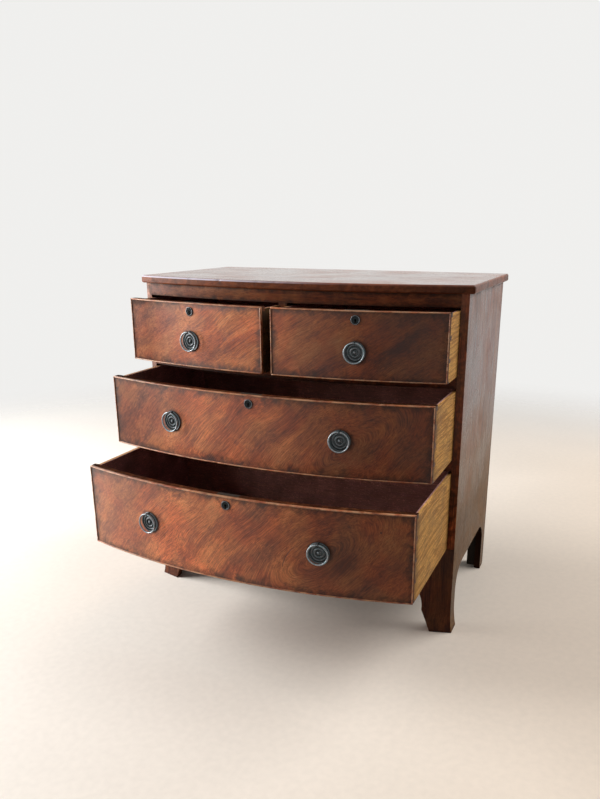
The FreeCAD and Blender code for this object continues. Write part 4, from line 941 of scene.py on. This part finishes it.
class CHEST_OT_cockbeads(ChestOperator):
    """Plant the cockbeads round the drawer fronts, mitred and worn."""
    bl_idname = "chest.cockbeads"
    bl_label = "Cockbeads"

    pitch = 0.004
    chip_width = 0.0035
    chip_stand = 0.0002
    full_stand = 0.002
    nose_turns = (0.0, 25.0, 50.0, 70.0, 90.0, 110.0, 130.0, 155.0, 180.0)
    # Places along a bead where a splinter has gone.
    chips = {
        ("lower_long", "top"): (-0.1348, 0.1247, 0.2247), ("upper_long", "top"): (0.305,),
        ("upper_long", "bottom"): (-0.0927,), ("short_right", "top"): (0.09,),
        ("short_left", "bottom"): (-0.15,),
    }

    def profile(self):
        """Distance in from the drawer's edge and out from the bow, root first."""
        trim = settings().trim
        half = trim.bead_width / 2
        nose = half * 0.86
        points = [(0.0, -trim.bead_root), (trim.bead_width, -trim.bead_root)]
        for turn in map(math.radians, self.nose_turns):
            points.append(
                (half + half * math.cos(turn), trim.bead_stand - nose + nose * math.sin(turn)))
        return points

    def worn(self, out, across, level, seed):
        """How far out a point of the nose still stands."""
        if out <= 0:
            return out
        place = Vector((across * 55, level * 55, seed))
        rub = max(0.0, noise.noise(place)) * 1.4 + max(0.0, noise.noise(place * 3.1)) * 0.7
        fine = noise.noise(Vector((across * 420, level * 420, seed + 9))) * 0.25
        rub = min(1.6, max(0.0, rub + fine))
        return out - settings().trim.bead_wear * rub * out / self.full_stand

    def bar(self, shape, drawer, profile, seed, side, low, high):
        """Adds one closed bar along a side of the front, mitred at both ends."""
        start, end = (low.x, high.x) if side in ("top", "bottom") else (low.z, high.z)
        count = max(2, int((end - start) / self.pitch))
        chips = self.chips.get((drawer, side), ())
        stations = []
        for step in range(count + 1):
            ring = []
            for inward, out in profile:
                along = start + inward + (end - start - 2 * inward) * step / count
                across, level = {
                    "top": (along, high.z - inward), "bottom": (along, low.z + inward),
                    "left": (low.x + inward, along), "right": (high.x - inward, along)}[side]
                out = self.worn(out, across, level, seed)
                if any(abs(along - chip) < self.chip_width for chip in chips):
                    out = min(out, self.chip_stand)
                ring.append(shape.verts.new(on_bow(across, level, out, OPENED[drawer])))
            stations.append(ring)
        bridge(shape, stations, True)
        shape.faces.new(stations[0])
        shape.faces.new(tuple(reversed(stations[-1])))

    def execute(self, context):
        for number, drawer in enumerate(DRAWERS):
            node = "cockbeads_" + drawer
            low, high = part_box(node)
            shape = bmesh.new()
            for turn, side in enumerate(("top", "bottom", "left", "right")):
                self.bar(shape, drawer, self.profile(), number * 4 + turn, side, low, high)
            # The beads' pale rubbed tone is partly worn wood and partly painted highlight.
            wood = mahogany("mahogany_" + node, ALONG_WIDTH, 71.0 + number, figure=(0.05, 0.006),
                            swirl=0.01, depth=1.1, gloss=0.5, rub=lambda made: 0.68)
            piece = from_bmesh(shape, "worn_" + node, wood)
            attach(piece, "drawer_" + drawer)
            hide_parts(node)
        return {"FINISHED"}


class CHEST_OT_boxes(ChestOperator):
    """Finish the oak sides, backs and bottoms of the drawers."""
    bl_idname = "chest.boxes"
    bl_label = "Drawer boxes"

    def execute(self, context):
        for number, drawer in enumerate(DRAWERS):
            low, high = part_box("sides_" + drawer)
            middle = (low.x + high.x) / 2
            half = (high.x - low.x) / 2
            beside = 1.0 if drawer == "short_left" else 0.0

            def inner(made):
                """Inside faces of the two sides."""
                return made.step(made.gap(made.x, middle), half - 0.0055, half - 0.0085)

            def handled(made):
                """Painted shade: the left outer face, and a face close beside the next drawer, are
                darker.
                """
                return made.most(made.step(made.x, low.x + 0.003, low.x + 0.001, 0.0, 0.45),
                                 made.step(made.x, high.x - 0.003, high.x - 0.001, 0.0, beside))

            dress("sides_" + drawer, oak(
                "oak_sides_" + drawer, ALONG_DEPTH, 81.0 + number, inner,
                lambda made: made.minus(made.y, low.y), handled), "fine_arris")
            for part in ("back_", "bottom_"):
                dress(part + drawer, oak(
                    "oak_" + part + drawer, ALONG_WIDTH, 91.0 + number, lambda made: 0.85),
                    "fine_arris")
        return {"FINISHED"}


class CHEST_OT_locks(ChestOperator):
    """Finish the locks and their bolts."""
    bl_idname = "chest.locks"
    bl_label = "Locks and bolts"

    def execute(self, context):
        for number, drawer in enumerate(DRAWERS):
            key = key_centre(drawer)
            iron = old_iron("iron_" + drawer, 101.0 + number, (key.x, key.z))
            for part in ("lock_", "bolt_"):
                dress(part + drawer, iron, "iron_arris")
        return {"FINISHED"}


class CHEST_OT_escutcheons(ChestOperator):
    """Finish the round keyhole plates."""
    bl_idname = "chest.escutcheons"
    bl_label = "Escutcheons"

    def execute(self, context):
        for number, drawer in enumerate(DRAWERS):
            dress("escutcheon_" + drawer, old_brass(
                "brass_key_" + drawer, 111.0 + number, rub=0.55, shine=0.18, depth=0.22,
                centres=(key_centre(drawer),), crests=KEY_CREST, gloss=0.08, flat=0.06))
        return {"FINISHED"}


class CHEST_OT_pulls(ChestOperator):
    """Finish the backplates, their posts and nuts, and the rings."""
    bl_idname = "chest.pulls"
    bl_label = "Ring pulls"

    # How far the middle of a plate's face lies behind the middle of its ring.
    behind = 0.0105

    def execute(self, context):
        for number, drawer in enumerate(DRAWERS):
            for ring in rings_of(drawer):
                dress(ring, old_brass("brass_" + ring, 131.0 + number, rub=0.70, shine=0.40,
                                      depth=2.4))
            dress("handle_plates_" + drawer, old_brass(
                "brass_plates_" + drawer, 121.0 + number, rub=0.36, shine=0.44, depth=0.75,
                centres=plate_centres(drawer, self.behind), hollows=HOLLOWS, crests=CRESTS))
        return {"FINISHED"}


class CHEST_OT_stage(ChestOperator):
    """Lay the floor and set the backdrop, the lights and the camera."""
    bl_idname = "chest.stage"
    bl_label = "Floor, light and camera"

    around = 96
    floor_rings = (0.12, 0.25, 0.5, 0.75, 1.0)
    # Where the floor starts to fade into the backdrop, and where it has gone.
    fades = (1.5, 3.4)
    daylight = (1.0, 0.985, 0.965)
    lamplight = (1.0, 0.99, 0.975)
    # Place of each light, the point it faces and its size.
    window = ((-3.4, -1.00, 1.50), (0.0, -0.1, 0.45), (2.4, 2.6))
    fill = ((2.2, 1.3, 2.5), (0.3, 0.0, 0.2), (2.2, 2.2))
    camera_place = (0.7910, -1.7334, 1.0285)
    camera_dip = 0.3087
    camera_turn = 0.4043

    def execute(self, context):
        stage = settings().stage
        self.lay_floor(stage)
        self.hang_backdrop(stage)
        self.place_light("window_light", *self.window, stage.window)
        self.place_light("side_fill", *self.fill, stage.fill)
        self.place_camera()
        context.scene.view_settings.view_transform = "Standard"
        return {"FINISHED"}

    def lay_floor(self, stage):
        shape = bmesh.new()
        centre = shape.verts.new((0.0, 0.0, 0.0))
        turns = [2 * math.pi * turn / self.around for turn in range(self.around)]
        rings = [[shape.verts.new((reach * math.cos(turn), reach * math.sin(turn), 0.0))
                  for turn in turns]
                 for reach in (stage.floor_reach * part for part in self.floor_rings)]
        for turn in range(self.around):
            after = (turn + 1) % self.around
            shape.faces.new((centre, rings[0][turn], rings[0][after]))
            for ring, following in zip(rings, rings[1:]):
                shape.faces.new((ring[turn], following[turn], following[after], ring[after]))
        floor = from_bmesh(shape, "floor", self.stone(stage), smooth=False)

    def stone(self, stage):
        """Pale floor that throws little colour on the chest and fades out far from it."""
        made = Finish("pale_floor", 3.0)
        grit = made.value(made.place, 60.0, 4.0)
        slow = made.value(made.place, 1.6, shift=2.0)
        # Painted light: warmer floor colour toward the right.
        tone = made.blend(made.step(made.x, -0.5, 1.3), stage.floor, stage.floor_warm_light)
        tone = made.shade(
            tone, made.times(made.vary(grit, 0.97, 1.03, 0.3), made.vary(slow, 0.97, 1.03)))
        made.colour = made.shade(tone, made.step(made.seen(), 0.0, 1.0, stage.bounce, 1.0))
        made.done(made.vary(grit, 0.55, 0.68, 0.3), 0.3)
        clear = made.add("ShaderNodeBsdfTransparent").outputs[0]
        floor_reflection = made.step(made.from_point((0.0, 0.0, 0.0)), *self.fades)
        fade = made.add("ShaderNodeMixShader", (floor_reflection, made.shader.outputs[0], clear))
        made.plug(made.output.inputs["Surface"], fade.outputs[0])
        return made.material

    def hang_backdrop(self, stage):
        """A pale surround, seen and mirrored at its own colour, that lights more gently."""
        world = bpy.data.worlds.new("room")
        bpy.context.scene.world = world
        world.use_nodes = True
        room = Graph(world.node_tree)
        light, paper = [
            room.add("ShaderNodeBackground", {"Color": tone, "Strength": glow}).outputs[0]
            for tone, glow in ((self.daylight, stage.sky), (stage.paper, 1.0))]
        either = room.add("ShaderNodeMixShader", (room.seen(), light, paper))
        room.add("ShaderNodeOutputWorld", {"Surface": either.outputs[0]})

    def place_light(self, name, place, target, size, energy):
        lamp = bpy.data.lights.new(name, "AREA")
        lamp.shape = "RECTANGLE"
        lamp.size, lamp.size_y = size
        lamp.energy = energy
        lamp.color = self.lamplight
        made = new_object(name, lamp)
        made.location = place
        made.rotation_mode = "QUATERNION"
        made.rotation_quaternion = (Vector(target) - Vector(place)).to_track_quat("-Z", "Y")
        made.visible_camera = False

    def place_camera(self):
        lens = bpy.data.cameras.new("view")
        lens.sensor_width = 36.0
        lens.lens = 32.625
        lens.shift_x = -0.02232
        lens.shift_y = 0.07165
        camera = new_object("view", lens)
        camera.location = self.camera_place
        camera.rotation_euler = (QUARTER - self.camera_dip, 0.0, self.camera_turn)
        bpy.context.scene.camera = camera


OPERATORS = (
    CHEST_OT_top, CHEST_OT_sides, CHEST_OT_rails, CHEST_OT_feet, CHEST_OT_inside,
    CHEST_OT_fronts, CHEST_OT_cockbeads, CHEST_OT_boxes, CHEST_OT_locks, CHEST_OT_escutcheons,
    CHEST_OT_pulls, CHEST_OT_stage,
)


class CHEST_PT_build(bpy.types.Panel):
    """Lists the chest's operators in the sidebar."""
    bl_label = "Chest of drawers"
    bl_idname = "CHEST_PT_build"
    bl_space_type = "VIEW_3D"
    bl_region_type = "UI"
    bl_category = "Chest"

    def draw(self, context):
        for operator in OPERATORS:
            self.layout.operator(operator.bl_idname, text=operator.bl_label)


CLASSES = (
    MahoganyFinish, OakFinish, SoftwoodFinish, BrassFinish, TrimSizes, StageSettings,
    ChestSettings, *OPERATORS, CHEST_PT_build,
)


def register():
    for made in CLASSES:
        bpy.utils.register_class(made)
    bpy.types.Scene.chest = PointerProperty(type=ChestSettings)


def unregister():
    del bpy.types.Scene.chest
    for made in reversed(CLASSES):
        bpy.utils.unregister_class(made)


def main():
    register()
    for operator in OPERATORS:
        group, action = operator.bl_idname.split(".")
        getattr(getattr(bpy.ops, group), action)()


if __name__ == "__main__":
    main()
